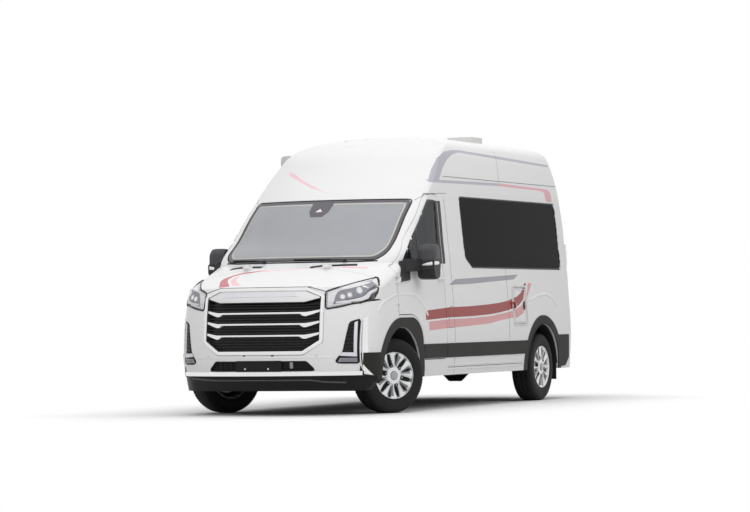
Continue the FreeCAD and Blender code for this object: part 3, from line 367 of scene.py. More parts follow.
DISC_STEEL = grained("brake_disc", (0.35, 0.34, 0.33), 0.35, scale=300.0, bump=0.1, tone=0.3, metallic=0.9)
RUBBER = grained("tyre_rubber", (0.020, 0.020, 0.021), 0.55, scale=500.0, bump=0.3, tone=0.2, dust=0.12)
ALLOY = grained("alloy", (0.75, 0.76, 0.77), 0.20, scale=700.0, bump=0.02, metallic=0.75)
# Mid grey: the own colour of the lug nuts, tow eye cover and awning line; on the spoke flanks it is painted reflection
WHEEL_GREY = grained("wheel_grey", (0.30, 0.30, 0.31), 0.35, scale=700.0, bump=0.03, metallic=0.3)
LAMP = grained("lamp_body", (0.30, 0.30, 0.34), 0.15, scale=300.0, bump=0.02, coat=1.0)
LAMP_DARK = grained("lamp_inside", (0.06, 0.06, 0.07), 0.2, scale=300.0, bump=0.05, coat=0.5)
RED_LAMP = grained("red_lens", (0.22, 0.012, 0.015), 0.12, scale=300.0, bump=0.02, coat=1.0)
AMBER_LAMP = grained("amber_lens", (0.55, 0.16, 0.01), 0.12, scale=300.0, bump=0.02, coat=1.0)
CABIN = grained("cabin_plastic", (0.10, 0.10, 0.105), 0.5, scale=900.0, bump=0.25)
WOOD = grained("cabinet", (0.42, 0.31, 0.21), 0.35, scale=60.0, bump=0.05, tone=0.3)
WHITE_PLASTIC = grained("vent_plastic", (0.74, 0.74, 0.73), 0.3, scale=900.0, bump=0.05)
CHROME_WHITE = grained("bright_surround", (0.85, 0.85, 0.86), 0.16, scale=600.0, bump=0.004, metallic=0.55, coat=0.5)
SEAL_LIGHT = grained("sensor_cap", (0.62, 0.62, 0.62), 0.3, scale=900.0, bump=0.02)
# Grey for the ledge along the black skirt: a painted highlight, lighter than the skirt to stand for the light on the
# ledge
SKIRT_HIGHLIGHT = grained("skirt_edge", (0.10, 0.10, 0.11), 0.3, scale=900.0, bump=0.1)
LAMP_WHITE = grained("lamp_white", (0.88, 0.88, 0.90), 0.2, scale=300.0, bump=0.02, coat=0.2)
LAMP_LILAC = grained("lamp_lilac", (0.27, 0.27, 0.31), 0.25, scale=90.0, bump=0.2, tone=0.8, coat=0.1)
DARK_CHROME = grained("dark_chrome", (0.20, 0.22, 0.19), 0.3, scale=600.0, bump=0.02, tone=0.5, metallic=0.4)
PILLAR_TRIM = grained("pillar_trim", (0.58, 0.57, 0.52), 0.6, scale=900.0, bump=0.1)
MIRROR_BLACK = grained("mirror_black", (0.024, 0.024, 0.026), 0.35, scale=1200.0, bump=0.1, gloss=0.25)
MIRROR_GREY = grained("mirror_grey", (0.075, 0.073, 0.080), 0.4, scale=1200.0, bump=0.1, gloss=0.25)
WHEEL_CAP = grained("wheel_cap", (0.46, 0.46, 0.47), 0.3, scale=700.0, bump=0.03, metallic=0.3)
SCREEN = clear_glass("screen_glass", (0.50, 0.515, 0.545), 0.68, 0.3)
CAB_GLASS = clear_glass("cab_glass", (0.020, 0.026, 0.030), 0.62, 0.2)
DARK_GLASS = clear_glass("dark_glass", (0.006, 0.006, 0.007), 0.97, 0.02)
LENS = clear_glass("lamp_cover", (0.7, 0.7, 0.74), 0.14)


def woven(name, colour, scale):
    """Cloth: two crossed fine waves as thread, with a slow change of tone."""
    material, graph, shader, place = base_material(name)
    finish_surface(graph, shader, place, colour, 0.85, scale, 0.4, 0.15, 0.0, 0.0, 0.0)
    threads = []
    for way in ("X", "Z"):
        wave = graph.add("ShaderNodeTexWave", bands_direction=way)
        graph.feed(wave.inputs["Vector"], place)
        wave.inputs["Scale"].default_value = scale
        threads.append(wave.outputs["Fac"])
    graph.bump(shader, graph.math("ADD", *threads), 0.5)
    return material


FABRIC = woven("seat_cloth", (0.16, 0.16, 0.17), 300.0)
CURTAIN = woven("curtain_cloth", (0.80, 0.76, 0.66), 350.0)

SLOT_FINISH = {
    "white_paint": PAINT, "screen_glass": SCREEN, "cab_glass": CAB_GLASS, "dark_glass": DARK_GLASS,
    "lamp_lens": LAMP, "red_lens": RED_LAMP, "bright_trim": CHROME, "black_plastic": BLACK,
    "cabin_plastic": CABIN, "underbody_steel": STEEL, "black_rubber": RUBBER, "seat_fabric": FABRIC,
    "cabinet_wood": WOOD, "vent_plastic": WHITE_PLASTIC, "tyre": RUBBER, "alloy": ALLOY,
}
NODE_FINISH = {
    "bonnet": BONNET_PAINT, "cab_front": BONNET_PAINT, "roof_cap": CAP_PAINT, "awning_case": PAINT,
    "body_side_left": UPPER_PAINT, "body_side_right": UPPER_PAINT, "sliding_door": UPPER_PAINT,
    "door_left": SIDE_PAINT, "door_right": SIDE_PAINT, "service_flap": SIDE_PAINT,
    "cladding": CLADDING, "door_cladding_left": CLADDING, "door_cladding_right": CLADDING, "rear_bumper": CLADDING,
    "wheel_houses": STEEL, "front_skirt": SKIRT,
}
# Record slots, each with the further finishes that belong to it
MORE_FINISHES = {
    "white_paint": "side_paint upper_side_paint roof_paint bonnet_paint sensor_cap",
    "black_plastic": """dark_cladding gloss_black skirt_black panel_seam screen_border skirt_edge mirror_black
                        mirror_grey""",
    "bright_trim": "lilac_panel bright_surround dark_chrome",
    "lamp_lens": "lamp_inside lamp_cover lamp_white lamp_lilac",
    "red_lens": "amber_lens",
    "underbody_steel": "brake_disc",
    "alloy": "wheel_grey wheel_cap",
    "seat_fabric": "curtain_cloth",
    "cabin_plastic": "pillar_trim",
}
FINISH_SLOT = {finish.name: slot for slot, finish in SLOT_FINISH.items()}
FINISH_SLOT.update({name: slot for slot, names in MORE_FINISHES.items() for name in names.split()})


def dress_nodes():
    """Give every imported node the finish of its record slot, or its own."""
    for row in frame["record"]["subparts"]:
        piece = nodes[row["node"]]
        piece.data.materials.clear()
        piece.data.materials.append(NODE_FINISH.get(row["node"], SLOT_FINISH[row["material_slot"]]))


dress_nodes()


def loft(loops, ring=False):
    """Closed skin over a stack of closed loops, an array (rows, points, 3).

    Point j of row i joins point j of row i + 1 by one four-sided face. The end rows are closed by one
    face each, or joined to each other for a ring. Faces are turned outwards by the sign of the volume.
    """
    loops = np.asarray(loops, dtype=float)
    rows, count = loops.shape[:2]
    index = np.arange(rows * count).reshape(rows, count)
    first = index if ring else index[:-1]
    second = np.roll(index, -1, 0) if ring else index[1:]
    quads = np.stack([first, second, np.roll(second, -1, 1), np.roll(first, -1, 1)], -1).reshape(-1, 4)
    verts = loops.reshape(-1, 3)
    faces = quads.tolist()
    corner = verts[quads]
    middle = verts.mean(0)
    cross = np.cross(corner[:, 2] - corner[:, 0], corner[:, 3] - corner[:, 1])
    volume = ((corner.mean(1) - middle) * cross).sum()
    if not ring:
        faces += [index[0].tolist(), index[-1][::-1].tolist()]
        for loop, sign in ((loops[0], 1), (loops[-1], -1)):
            around = np.roll(loop, -1, 0)
            volume += sign * (np.cross(loop - middle, around - middle).sum(0) * (loop.mean(0) - middle)).sum()
    if volume < 0:
        faces = [face[::-1] for face in faces]
    return verts, faces


def mirrored(form):
    """The same skin on the other side of the van's middle plane."""
    verts, faces = form
    return verts * (-1, 1, 1), [face[::-1] for face in faces]


def both(forms):
    return forms + [mirrored(form) for form in forms]


def add_object(name, data):
    """New object in the scene for a mesh, a camera or a lamp."""
    made = bpy.data.objects.new(name, data)
    bpy.context.scene.collection.objects.link(made)
    return made


def build(name, forms, finish, body="root", replaces=(), crease=34.0):
    """Piece made of closed skins in one finish, smooth below the crease angle."""
    start = np.cumsum([0] + [len(verts) for verts, _ in forms])
    verts = np.concatenate([verts for verts, _ in forms])
    faces = [[int(i) + int(base) for i in face] for base, (_, part) in zip(start, forms) for face in part]
    mesh = bpy.data.meshes.new(name)
    mesh.from_pydata(verts.tolist(), [], faces)
    mesh.polygons.foreach_set("use_smooth", np.ones(len(faces), dtype=bool))
    mesh.materials.append(finish)
    mesh.set_sharp_from_angle(angle=math.radians(crease))
    piece = add_object(name, mesh)
    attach(piece, body)
    if replaces:
        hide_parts(*replaces)
    return piece


def build_pair(name, carrier, forms, finish, replaces=None):
    """Left piece on the left carrier, and its mirror image on the right one."""
    for side, made in (("left", forms), ("right", [mirrored(form) for form in forms])):
        replaced = (f"{replaces}_{side}",) if replaces else ()
        build(f"{name}_{side}", made, finish, f"{carrier}_{side}", replaced)


def rounded(points, radius, steps=5, closed=True):
    """Polygon whose corners are turned by arcs tangent to both sides, as an (n, 2) or (n, 3) array."""
    points = [np.asarray(point, dtype=float) for point in points]
    radii = radius if hasattr(radius, "__len__") else [radius] * len(points)
    line = []
    for i, corner in enumerate(points):
        if not closed and i in (0, len(points) - 1) or radii[i] <= 0:
            line.append(corner[None])
            continue
        back = points[i - 1] - corner
        on = points[(i + 1) % len(points)] - corner
        reach_limit = 0.49 * min(np.linalg.norm(back), np.linalg.norm(on))
        back, on = back / np.linalg.norm(back), on / np.linalg.norm(on)
        half = math.acos(np.clip(back @ on, -1, 1)) / 2
        reach = min(radii[i] / math.tan(half), reach_limit)
        share = np.linspace(0, 1, steps)[:, None]
        start, end = corner + back * reach, corner + on * reach
        line.append((1 - share) ** 2 * start + 2 * share * (1 - share) * corner + share ** 2 * end)
    return np.concatenate(line)


def evenly(line, step, closed=False):
    """Points at about equal steps along a line, its own points kept by their places."""
    line = np.asarray(line, dtype=float)
    if closed:
        line = np.concatenate([line, line[:1]])
    reach = np.concatenate([[0], np.cumsum(np.linalg.norm(np.diff(line, axis=0), axis=1))])
    count = max(int(reach[-1] / step), 3)
    places = np.linspace(0, reach[-1], count + 1)
    spread = np.stack([np.interp(places, reach, line[:, i]) for i in range(line.shape[1])], -1)
    return spread[:-1] if closed else spread


# Nose of the body, by height: set-back of the middle, bow over the half width, half width
NOSE_ROWS = np.array([
    (0.2350, 0.0585, 0.3042, 0.9973), (0.4019, 0.0117, 0.3218, 1.0096), (0.5494, 0.0000, 0.3276, 1.0198),
    (0.7505, 0.0082, 0.3335, 1.0260), (0.9513, 0.0281, 0.3393, 1.0188), (1.0988, 0.0556, 0.3393, 1.0096),
    (1.1980, 0.0965, 0.3393, 1.0024), (1.2488, 0.2369, 0.3452, 0.9993),
])
NOSE_TIP = -2.915
BOW_POWER = 2.3
# Each view: axis looked along, direction of its rays, and the two axes of its plane
VIEWS = {"front": (1, 1, (0, 2)), "rear": (1, -1, (0, 2)), "left": (0, -1, (1, 2)), "top": (2, -1, (0, 1)),
         "nose": (1, 1, (0, 2))}
# Distance the rays start from, spacing of the rays round a point, and the step in depth that counts as a gap
RAY_START = 5.0
PROBE = 0.008
GAP_DEPTH = 0.02
# Depth by which a ray must have met the body: beyond it lies the far side, seen through a gap
FAR_LIMITS = {"front": -0.5, "rear": 2.0, "left": 0.5, "top": 1.0}
SKIN_NODES = """roof_cap front_bumper bonnet headlamps corner_lamps front_skirt cab_front door_left door_glass_left
windscreen side_glass body_side_left body_side_right sliding_door service_flap rear_door_left rear_door_right
rear_glass_left rear_glass_right tail_lamps""".split()


class Skin:
    """Outer face of the van's body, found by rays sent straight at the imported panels."""

    def __init__(self):
        verts, faces = [], []
        for name in SKIN_NODES:
            mesh = nodes[name].data
            places = np.empty(len(mesh.vertices) * 3)
            mesh.vertices.foreach_get("co", places)
            base = sum(len(part) for part in verts)
            verts.append(places.reshape(-1, 3))
            faces += [[base + i for i in polygon.vertices] for polygon in mesh.polygons]
        self.tree = BVHTree.FromPolygons(np.concatenate(verts).tolist(), faces)

    def reach(self, view, points):
        """Coordinate along the view's axis where each ray meets the body, or the nose's own formula."""
        axis, sign, plane = VIEWS[view]
        if view == "nose":
            x, z = points[..., 0], points[..., 1]
            back, bow, width = [np.interp(z, NOSE_ROWS[:, 0], NOSE_ROWS[:, i]) for i in (1, 2, 3)]
            return NOSE_TIP + back + bow * np.minimum(np.abs(x) / width, 1) ** BOW_POWER
        flat = points.reshape(-1, 2)
        starts = np.zeros((len(flat), 3))
        starts[:, plane[0]], starts[:, plane[1]] = flat[:, 0], flat[:, 1]
        starts[:, axis] = -sign * RAY_START
        way = Vector([sign if i == axis else 0 for i in range(3)])
        hits = [self.tree.ray_cast(Vector(start), way)[0] for start in starts.tolist()]
        depths = np.array([hit[axis] if hit else np.nan for hit in hits]).reshape(points.shape[:-1])
        return np.where(sign * (depths - FAR_LIMITS[view]) < 0, depths, np.nan)

    def spots(self, view, points):
        """Places and outward normals on the skin for points in the view's plane.

        Five rays a point give the depth and its slope. A ray that falls into a gap takes the middle value, and a
        point whose rays all pass a gap takes a depth between those of its neighbours.
        """
        axis, sign, plane = VIEWS[view]
        points = np.asarray(points, dtype=float)
        moves = PROBE * np.array([(0, 0), (1, 0), (-1, 0), (0, 1), (0, -1)])
        depths = np.stack([self.reach(view, points + move) for move in moves])
        middle = np.nanmedian(depths, axis=0)
        lost = np.isnan(middle).ravel()
        middle.ravel()[lost] = np.interp(np.flatnonzero(lost), np.flatnonzero(~lost), middle.ravel()[~lost])
        stray = np.isnan(depths) | (np.abs(depths - middle) > GAP_DEPTH)
        depths = np.where(stray, middle, depths)
        place = np.zeros(points.shape[:-1] + (3,))
        normal = np.zeros_like(place)
        place[..., plane[0]], place[..., plane[1]], place[..., axis] = points[..., 0], points[..., 1], depths[0]
        normal[..., axis] = -sign
        normal[..., plane[0]] = sign * (depths[1] - depths[2]) / (2 * PROBE)
        normal[..., plane[1]] = sign * (depths[3] - depths[4]) / (2 * PROBE)
        return place, normal / np.linalg.norm(normal, axis=-1, keepdims=True)


SKIN = Skin()


def unit(rows):
    return rows / np.maximum(np.linalg.norm(rows, axis=-1, keepdims=True), 1e-9)


def sweep(path, normals, section, ring=False):
    """Section carried along a path: point = path + side * across + up * high, with side = normal x tangent."""
    path = np.asarray(path, dtype=float)
    normals = np.broadcast_to(np.asarray(normals, dtype=float), path.shape)
    way = np.roll(path, -1, 0) - np.roll(path, 1, 0) if ring else np.gradient(path, axis=0)
    way = unit(way)
    side = unit(np.cross(normals, way))
    above = np.cross(way, side)
    section = np.broadcast_to(section, (len(path),) + np.shape(section)[-2:])
    return loft(path[:, None] + side[:, None] * section[..., :1] + above[:, None] * section[..., 1:], ring)


def strip(width, high, low=-0.004, edge=0.0015):
    """Section of a strip on the skin: flat top, rounded edges, foot sunk into the skin."""
    half = width / 2
    edge = min(edge, half * 0.6)
    return np.array([(-half, low), (-half, high - edge), (-half + edge * 0.3, high - edge * 0.3), (-half + edge, high),
                     (half - edge, high), (half - edge * 0.3, high - edge * 0.3), (half, high - edge), (half, low)])


def tube(radius, count=10):
    angle = np.linspace(0, 2 * math.pi, count, endpoint=False)
    return radius * np.stack([np.cos(angle), np.sin(angle)], -1)


def line_on(view, points, section, radius=0.0, ring=False, step=0.02):
    """Strip that follows a drawn line on the skin."""
    line = rounded(points, radius, closed=ring) if radius else np.asarray(points, dtype=float)
    path, normals = SKIN.spots(view, evenly(line, step, ring))
    return sweep(path, normals, section, ring)


def slab(view, near, far, high, low=-0.006, edge=0.002, across=9, along=24):
    """Slab on the skin between two drawn edge curves: rows run from near to far, low at both ends."""
    share = np.linspace(0, 1, along)
    curves = []
    for curve in (near, far):
        curve = np.asarray(curve, dtype=float)
        reach = np.concatenate([[0], np.cumsum(np.linalg.norm(np.diff(curve, axis=0), axis=1))])
        reach = reach / max(reach[-1], 1e-9)
        curves.append(np.stack([np.interp(share, reach, curve[:, i]) for i in (0, 1)], -1))
    rim = 0.012
    spread = np.concatenate([[0, 0, rim], np.linspace(2 * rim, 1 - 2 * rim, across), [1 - rim, 1, 1]])
    lift = np.concatenate([[low, high - edge, high - edge * 0.3], np.full(across, high),
                           [high - edge * 0.3, high - edge, low]])
    grid = curves[0][:, None] + (curves[1] - curves[0])[:, None] * spread[None, :, None]
    place, normal = SKIN.spots(view, grid)
    return loft(place + normal * lift[None, :, None])


def crowned(view, outline, high, low=-0.006, edge=0.002, step=0.01, shares=(0.9, 0.7, 0.45, 0.2, 0.03)):
    """Slab on the skin inside a closed outline: up the rim, then shrinking loops over the middle."""
    line = evenly(outline, step, closed=True)
    middle = line.mean(0)
    span = np.linalg.norm(line - middle, axis=1).mean()
    scales = [1, 1, 1 - edge / span * 0.3, 1 - edge / span] + list(shares)
    lifts = [low, high - edge, high - edge * 0.3, high] + [high] * len(shares)
    loops = []
    for scale, lift in zip(scales, lifts):
        place, normal = SKIN.spots(view, middle + (line - middle) * scale)
        loops.append(place + normal * lift)
    return loft(loops)


def disc_on(view, centre, radii, high, low=-0.006, count=20):
    """Round or oval button on the skin."""
    angle = np.linspace(0, 2 * math.pi, count, endpoint=False)
    outline = np.asarray(centre) + np.stack([np.cos(angle) * radii[0], np.sin(angle) * radii[1]], -1)
    return crowned(view, outline, high, low, 0.0015, step=min(radii) / 3, shares=(0.6, 0.1))


def lathe(profile, centre, axis, count):
    """Profile of (along the axis, radius) turned round it: closed ring of loops."""
    profile = np.asarray(profile, dtype=float)
    axis = unit(np.asarray(axis, dtype=float))
    first = unit(np.cross(axis, (0.0, 0.0, 1.0) if abs(axis[2]) < 0.9 else (1.0, 0.0, 0.0)))
    second = np.cross(axis, first)
    angle = np.linspace(0, 2 * math.pi, count, endpoint=False)
    ray = np.cos(angle)[:, None] * first + np.sin(angle)[:, None] * second
    loops = np.asarray(centre) + axis * profile[None, :, :1] + ray[:, None] * profile[None, :, 1:]
    return loft(loops, ring=True)


def box_line(x0, z0, x1, z1):
    """Corners of an upright box drawn in a view's plane."""
    return [(x0, z0), (x1, z0), (x1, z1), (x0, z1)]


def bent(points, radius, step=0.012):
    """Closed outline with rounded corners and points at even steps."""
    return evenly(rounded(points, radius), step, True)


def stacked(outline, heights, axis=2, lean=(0.0, 0.0)):
    """Drawn loops stacked along an axis, each row (height, scale). Lean is (slope, height it starts from)."""
    outline = np.asarray(outline, dtype=float)
    middle = outline.mean(0)
    rows = [np.insert(middle + (outline - middle) * scale + ((height - lean[1]) * lean[0], 0.0), axis, height, axis=1)
            for height, scale in heights]
    return loft(np.stack(rows))


def block(low, high, radius=0.01, steps=4):
    """Box with rounded upright edges and softened rims, as loops stacked along its height."""
    (x0, y0, z0), (x1, y1, z1) = low, high
    tip = 1 - 2 * radius / max(x1 - x0, y1 - y0)
    heights = [(z0, tip), (z0 + radius * 0.3, 1 - (1 - tip) * 0.3), (z0 + radius, 1), (z1 - radius, 1),
               (z1 - radius * 0.3, 1 - (1 - tip) * 0.3), (z1, tip)]
    return stacked(rounded(box_line(x0, y0, x1, y1), radius, steps), heights)


def hairline(width):
    """Section of a fine line that stands just off the skin."""
    return strip(width, 0.0008, -0.003, 0.0003)


def mirror_line(half):
    """Line over the whole width from its left half, drawn from the outside inwards."""
    other = [(-x, z) for x, z in half[::-1]]
    return other + half if half[0][0] < half[-1][0] else half + other


# Heights of the winged bars, and their low and high edges as (x, rise over that height)
GRILLE_BARS = (0.963, 0.860, 0.752)
WING_EDGES = ([(0.592, 0.012), (0.50, -0.020), (0.455, -0.033), (0.43, -0.026), (0.405, -0.008)],
              [(0.592, 0.030), (0.50, 0.014), (0.455, 0.008), (0.43, 0.008), (0.405, 0.008)])


def grille():
    """Bright surround, three winged bars, fine louvres between them and a white top panel with a lilac inset."""
    outer = mirror_line([(0.459, 1.197), (0.618, 1.128), (0.618, 0.690), (0.445, 0.573)])
    inner = mirror_line([(0.440, 1.170), (0.588, 1.110), (0.588, 0.704), (0.434, 0.606)])
    middle = [((a[0] + b[0]) / 2, (a[1] + b[1]) / 2) for a, b in zip(outer, inner)]
    surround = line_on("nose", middle, strip(0.036, 0.010, -0.05, 0.006), 0.02, ring=True, step=0.012)
    build("grille_surround", [surround], CHROME_WHITE, replaces=("grille_frame",))
    edges = [line_on("nose", line, strip(0.007, 0.004, -0.05, 0.001), 0.02, ring=True, step=0.012)
             for line in (outer, inner)]
    build("grille_edge_lines", edges, BLACK)
    back = slab("nose", [(-0.600, 1.16), (-0.600, 0.70), (-0.44, 0.60)], [(0.600, 1.16), (0.600, 0.70), (0.44, 0.60)],
                -0.045, -0.075, across=30)
    build("grille_back", [back], GLOSS_BLACK, replaces=("grille_insert",))
    levels = [z for z in np.arange(0.622, 1.06, 0.0262) if min(abs(z - bar) for bar in GRILLE_BARS) > 0.020]
    louvres = []
    for z in levels:
        reach = np.interp(z, [0.606, 0.706, 1.1], [0.44, 0.585, 0.585])
        louvres.append(line_on("nose", [(-reach, z + 0.010), (-0.46, z), (0.46, z), (reach, z + 0.010)],
                               strip(0.0115, -0.020, -0.05, 0.003), step=0.05))
    build("grille_louvres", louvres, BLACK)
    bars = []
    for z in GRILLE_BARS:
        low, high = [mirror_line([(x, z + rise) for x, rise in edge]) for edge in WING_EDGES]
        bars.append(slab("nose", low, high, -0.002, -0.045, 0.003, along=80))
    build("grille_bars", bars, CHROME_WHITE)
    top = slab("nose", mirror_line([(0.575, 1.100), (0.44, 1.063)]), mirror_line([(0.575, 1.118), (0.44, 1.172)]),
               0.001, -0.045, 0.008, along=60)
    build("grille_top_panel", [top], PAINT)
    under = line_on("nose", mirror_line([(0.588, 1.098), (0.44, 1.058)]), strip(0.010, 0.000, -0.04), 0.05)
    build("grille_top_shadow", [under], GLOSS_BLACK)
    inset = slab("nose", [(-0.41, 1.112), (0.38, 1.114)], [(-0.36, 1.150), (0.34, 1.150)], 0.005, -0.006, along=40)
    build("grille_lilac_inset", [inset], LILAC)


def lower_intake():
    """Dark mesh behind the bumper's mouth, with a bare number plate holder and its two fixings."""
    backing = slab("nose", [(-0.50, 0.535), (-0.60, 0.42)], [(0.50, 0.535), (0.60, 0.42)], -0.035, -0.060, across=30)
    bars = [line_on("nose", [(-0.57, z), (0.57, z)], strip(0.009, -0.014, -0.04), step=0.05)
            for z in (0.436, 0.453, 0.470, 0.487, 0.504)]
    posts = [line_on("nose", [(x, 0.42), (x, 0.525)], strip(0.008, -0.018, -0.04), step=0.02)
             for x in np.arange(-0.54, 0.56, 0.06)]
    build("intake_mesh", [backing] + bars + posts, GLOSS_BLACK)
    rim = line_on("nose", mirror_line([(0.470, 0.512), (0.556, 0.424)]), strip(0.010, 0.003, -0.03), 0.015, ring=True)
    build("intake_rim", [rim], BLACK)
    holder = slab("nose", [(-0.235, 0.417), (0.235, 0.417)], [(-0.235, 0.520), (0.235, 0.520)], 0.006, -0.03, 0.003)
    ribs = [line_on("nose", [(-0.20, z), (0.20, z)], strip(0.004, 0.009, 0.002), step=0.05) for z in (0.440, 0.500)]
    build("plate_holder", [holder] + ribs, GLOSS_BLACK)
    fixings = [disc_on("nose", (x, 0.444), (0.009, 0.009), 0.011, 0.002) for x in (-0.138, 0.102)]
    build("plate_holder_fixings", fixings, WHITE_PLASTIC)
    eye = crowned("nose", rounded(box_line(0.315, 0.445, 0.345, 0.505), 0.008), 0.002, -0.02)
    build("tow_eye_cover", [eye], WHEEL_GREY)


def bumper_details():
    """Two dark slots over the plate, four parking sensors, a pressed line over the bumper's mouth, and a ledge along
    the skirt in a lighter grey as its painted highlight.
    """
    slots = [crowned("nose", rounded(box_line(x - 0.018, 0.560, x + 0.018, 0.572), 0.005), 0.0015, -0.01)
             for x in (-0.147, 0.147)]
    build("bumper_slots", slots, GLOSS_BLACK)
    sensors = [disc_on("nose", (s * 0.564, 0.560), (0.013, 0.013), 0.0012) for s in (-1, 1)]
    sensors += [disc_on("front", (s * 0.80, 0.52), (0.012, 0.013), 0.0012) for s in (-1, 1)]
    build("parking_sensors", sensors, SEAL_LIGHT)
    fold = line_on("nose", [(-0.72, 0.545), (-0.55, 0.545), (0.55, 0.545), (0.72, 0.545)],
                   np.array([(-0.012, -0.002), (-0.004, 0.003), (0.004, 0.003), (0.020, -0.002)]), 0.1)
    build("bumper_fold", [fold], PAINT)
    # Ledge along the skirt: its lighter grey is a painted highlight
    ledge = line_on("nose", [(-0.80, 0.352), (-0.50, 0.336), (0.50, 0.336), (0.62, 0.318), (0.80, 0.310)],
                    strip(0.016, 0.006, -0.004, 0.005), 0.1)
    build("skirt_ledge", [ledge], SKIRT_HIGHLIGHT)


def headlamps():
    """Lamp units: dark bowl, white guide round a grey field, two lens barrels, diodes, a bright swoosh, a cover."""
    outline = [(0.910, 1.050), (0.860, 1.043), (0.753, 1.013), (0.634, 0.994), (0.622, 1.160), (0.759, 1.211),
               (0.863, 1.260), (0.912, 1.284)]
    outer = [(0.905, -2.245, 1.288), (0.932, -2.236, 1.282), (0.952, -2.262, 1.262), (0.977, -2.316, 1.214),
             (0.984, -2.360, 1.167), (0.980, -2.408, 1.120), (0.960, -2.478, 1.084), (0.905, -2.585, 1.050)]
    low = [(0.640, 0.998), (0.753, 1.017), (0.860, 1.047), (0.932, 1.053), (0.960, 1.067), (0.986, 1.092),
           (0.995, 1.150)]
    high = [(0.626, 1.156), (0.759, 1.205), (0.863, 1.254), (0.915, 1.278), (0.938, 1.272), (0.960, 1.244),
            (0.990, 1.152)]
    bowl = slab("front", low, high, -0.010, -0.075, along=40)
    build("headlamp_bowls", both([bowl]), LAMP_DARK, replaces=("headlamps",))
    field = slab("front",
                 [(0.700, 1.064), (0.828, 1.085), (0.903, 1.107), (0.920, 1.121), (0.948, 1.177), (0.975, 1.230)],
                 [(0.706, 1.130), (0.722, 1.152), (0.746, 1.168), (0.815, 1.181), (0.877, 1.204), (0.945, 1.262)],
                 -0.003, -0.020, 0.004, along=30)
    build("headlamp_fields", both([field]), LAMP_LILAC)
    guide = slab("front", [(0.646, 1.012), (0.640, 1.150)],
                 [(0.690, 1.022), (0.700, 1.064), (0.706, 1.110), (0.724, 1.160)], 0.000, -0.020, 0.004)
    arm = slab("front",
               [(0.640, 1.138), (0.716, 1.147), (0.746, 1.170), (0.815, 1.183), (0.877, 1.206), (0.920, 1.236)],
               [(0.638, 1.154), (0.700, 1.178), (0.759, 1.200), (0.820, 1.229), (0.863, 1.248), (0.905, 1.266)],
               0.000, -0.02, 0.004)
    foot = slab("front", [(0.662, 1.022), (0.753, 1.034), (0.835, 1.054)],
                [(0.662, 1.030), (0.753, 1.048), (0.835, 1.068)], 0.000, -0.02, 0.003)
    swoosh = slab("front",
                  [(0.715, 1.046), (0.830, 1.060), (0.919, 1.063), (0.950, 1.083), (0.960, 1.130), (0.986, 1.164)],
                  [(0.715, 1.062), (0.829, 1.078), (0.903, 1.100), (0.928, 1.118), (0.946, 1.155), (0.984, 1.188)],
                  0.002, -0.02, 0.006, along=30)
    hook = slab("front", [(0.892, 1.203), (0.937, 1.182)], [(0.894, 1.215), (0.940, 1.194)], 0.002, -0.02, 0.003)
    build("headlamp_guides", both([guide, arm, foot, swoosh, hook]), LAMP_WHITE)
    barrels = []
    for x, z, radius in ((0.768, 1.108, 0.020), (0.822, 1.124, 0.020), (0.885, 1.165, 0.026)):
        place, normal = [rows[0] for rows in SKIN.spots("front", [(x, z)])]
        dome = [(-0.02, radius * 1.3), (0.000, radius * 1.3), (0.002, radius * 1.15), (0.000, radius),
                (0.006, radius * 0.8), (0.010, radius * 0.45), (0.011, 0.0005), (-0.02, 0.0005)]
        barrels.append(lathe(dome, place, normal, 28))
    build("headlamp_barrels", both(barrels), CHROME)
    spots = []
    for share in np.linspace(0, 1, 11):
        x, z = 0.664 + share * 0.170, 1.013 + share * 0.038
        diode = box_line(x - 0.005, z - 0.005, x + 0.005, z + 0.006)
        spots.append(crowned("front", diode, 0.003, -0.01, 0.001, 0.005, (0.5, 0.1)))
    build("headlamp_diodes", both(spots), WHITE_PLASTIC)
    shoulder = slab("left", [(-2.425, 1.082), (-2.360, 1.140), (-2.318, 1.214), (-2.215, 1.290)],
                    [(-2.335, 1.084), (-2.330, 1.140), (-2.280, 1.214), (-2.190, 1.296)],
                    0.0008, -0.02, 0.001, along=16)
    build("headlamp_shoulders", both([shoulder]), PAINT)
    border = line_on("front", outline, strip(0.013, 0.004, -0.03, 0.001), 0.02, step=0.012)
    edge = sweep(evenly(outer, 0.012), unit([0.80, -0.58, 0.15]), strip(0.017, 0.007, -0.03, 0.002))
    build("headlamp_borders", both([border, edge]), GLOSS_BLACK)
    cover = slab("front", low, high, 0.006, 0.0045, 0.0005, along=40)
    build("headlamp_covers", both([cover]), LENS)


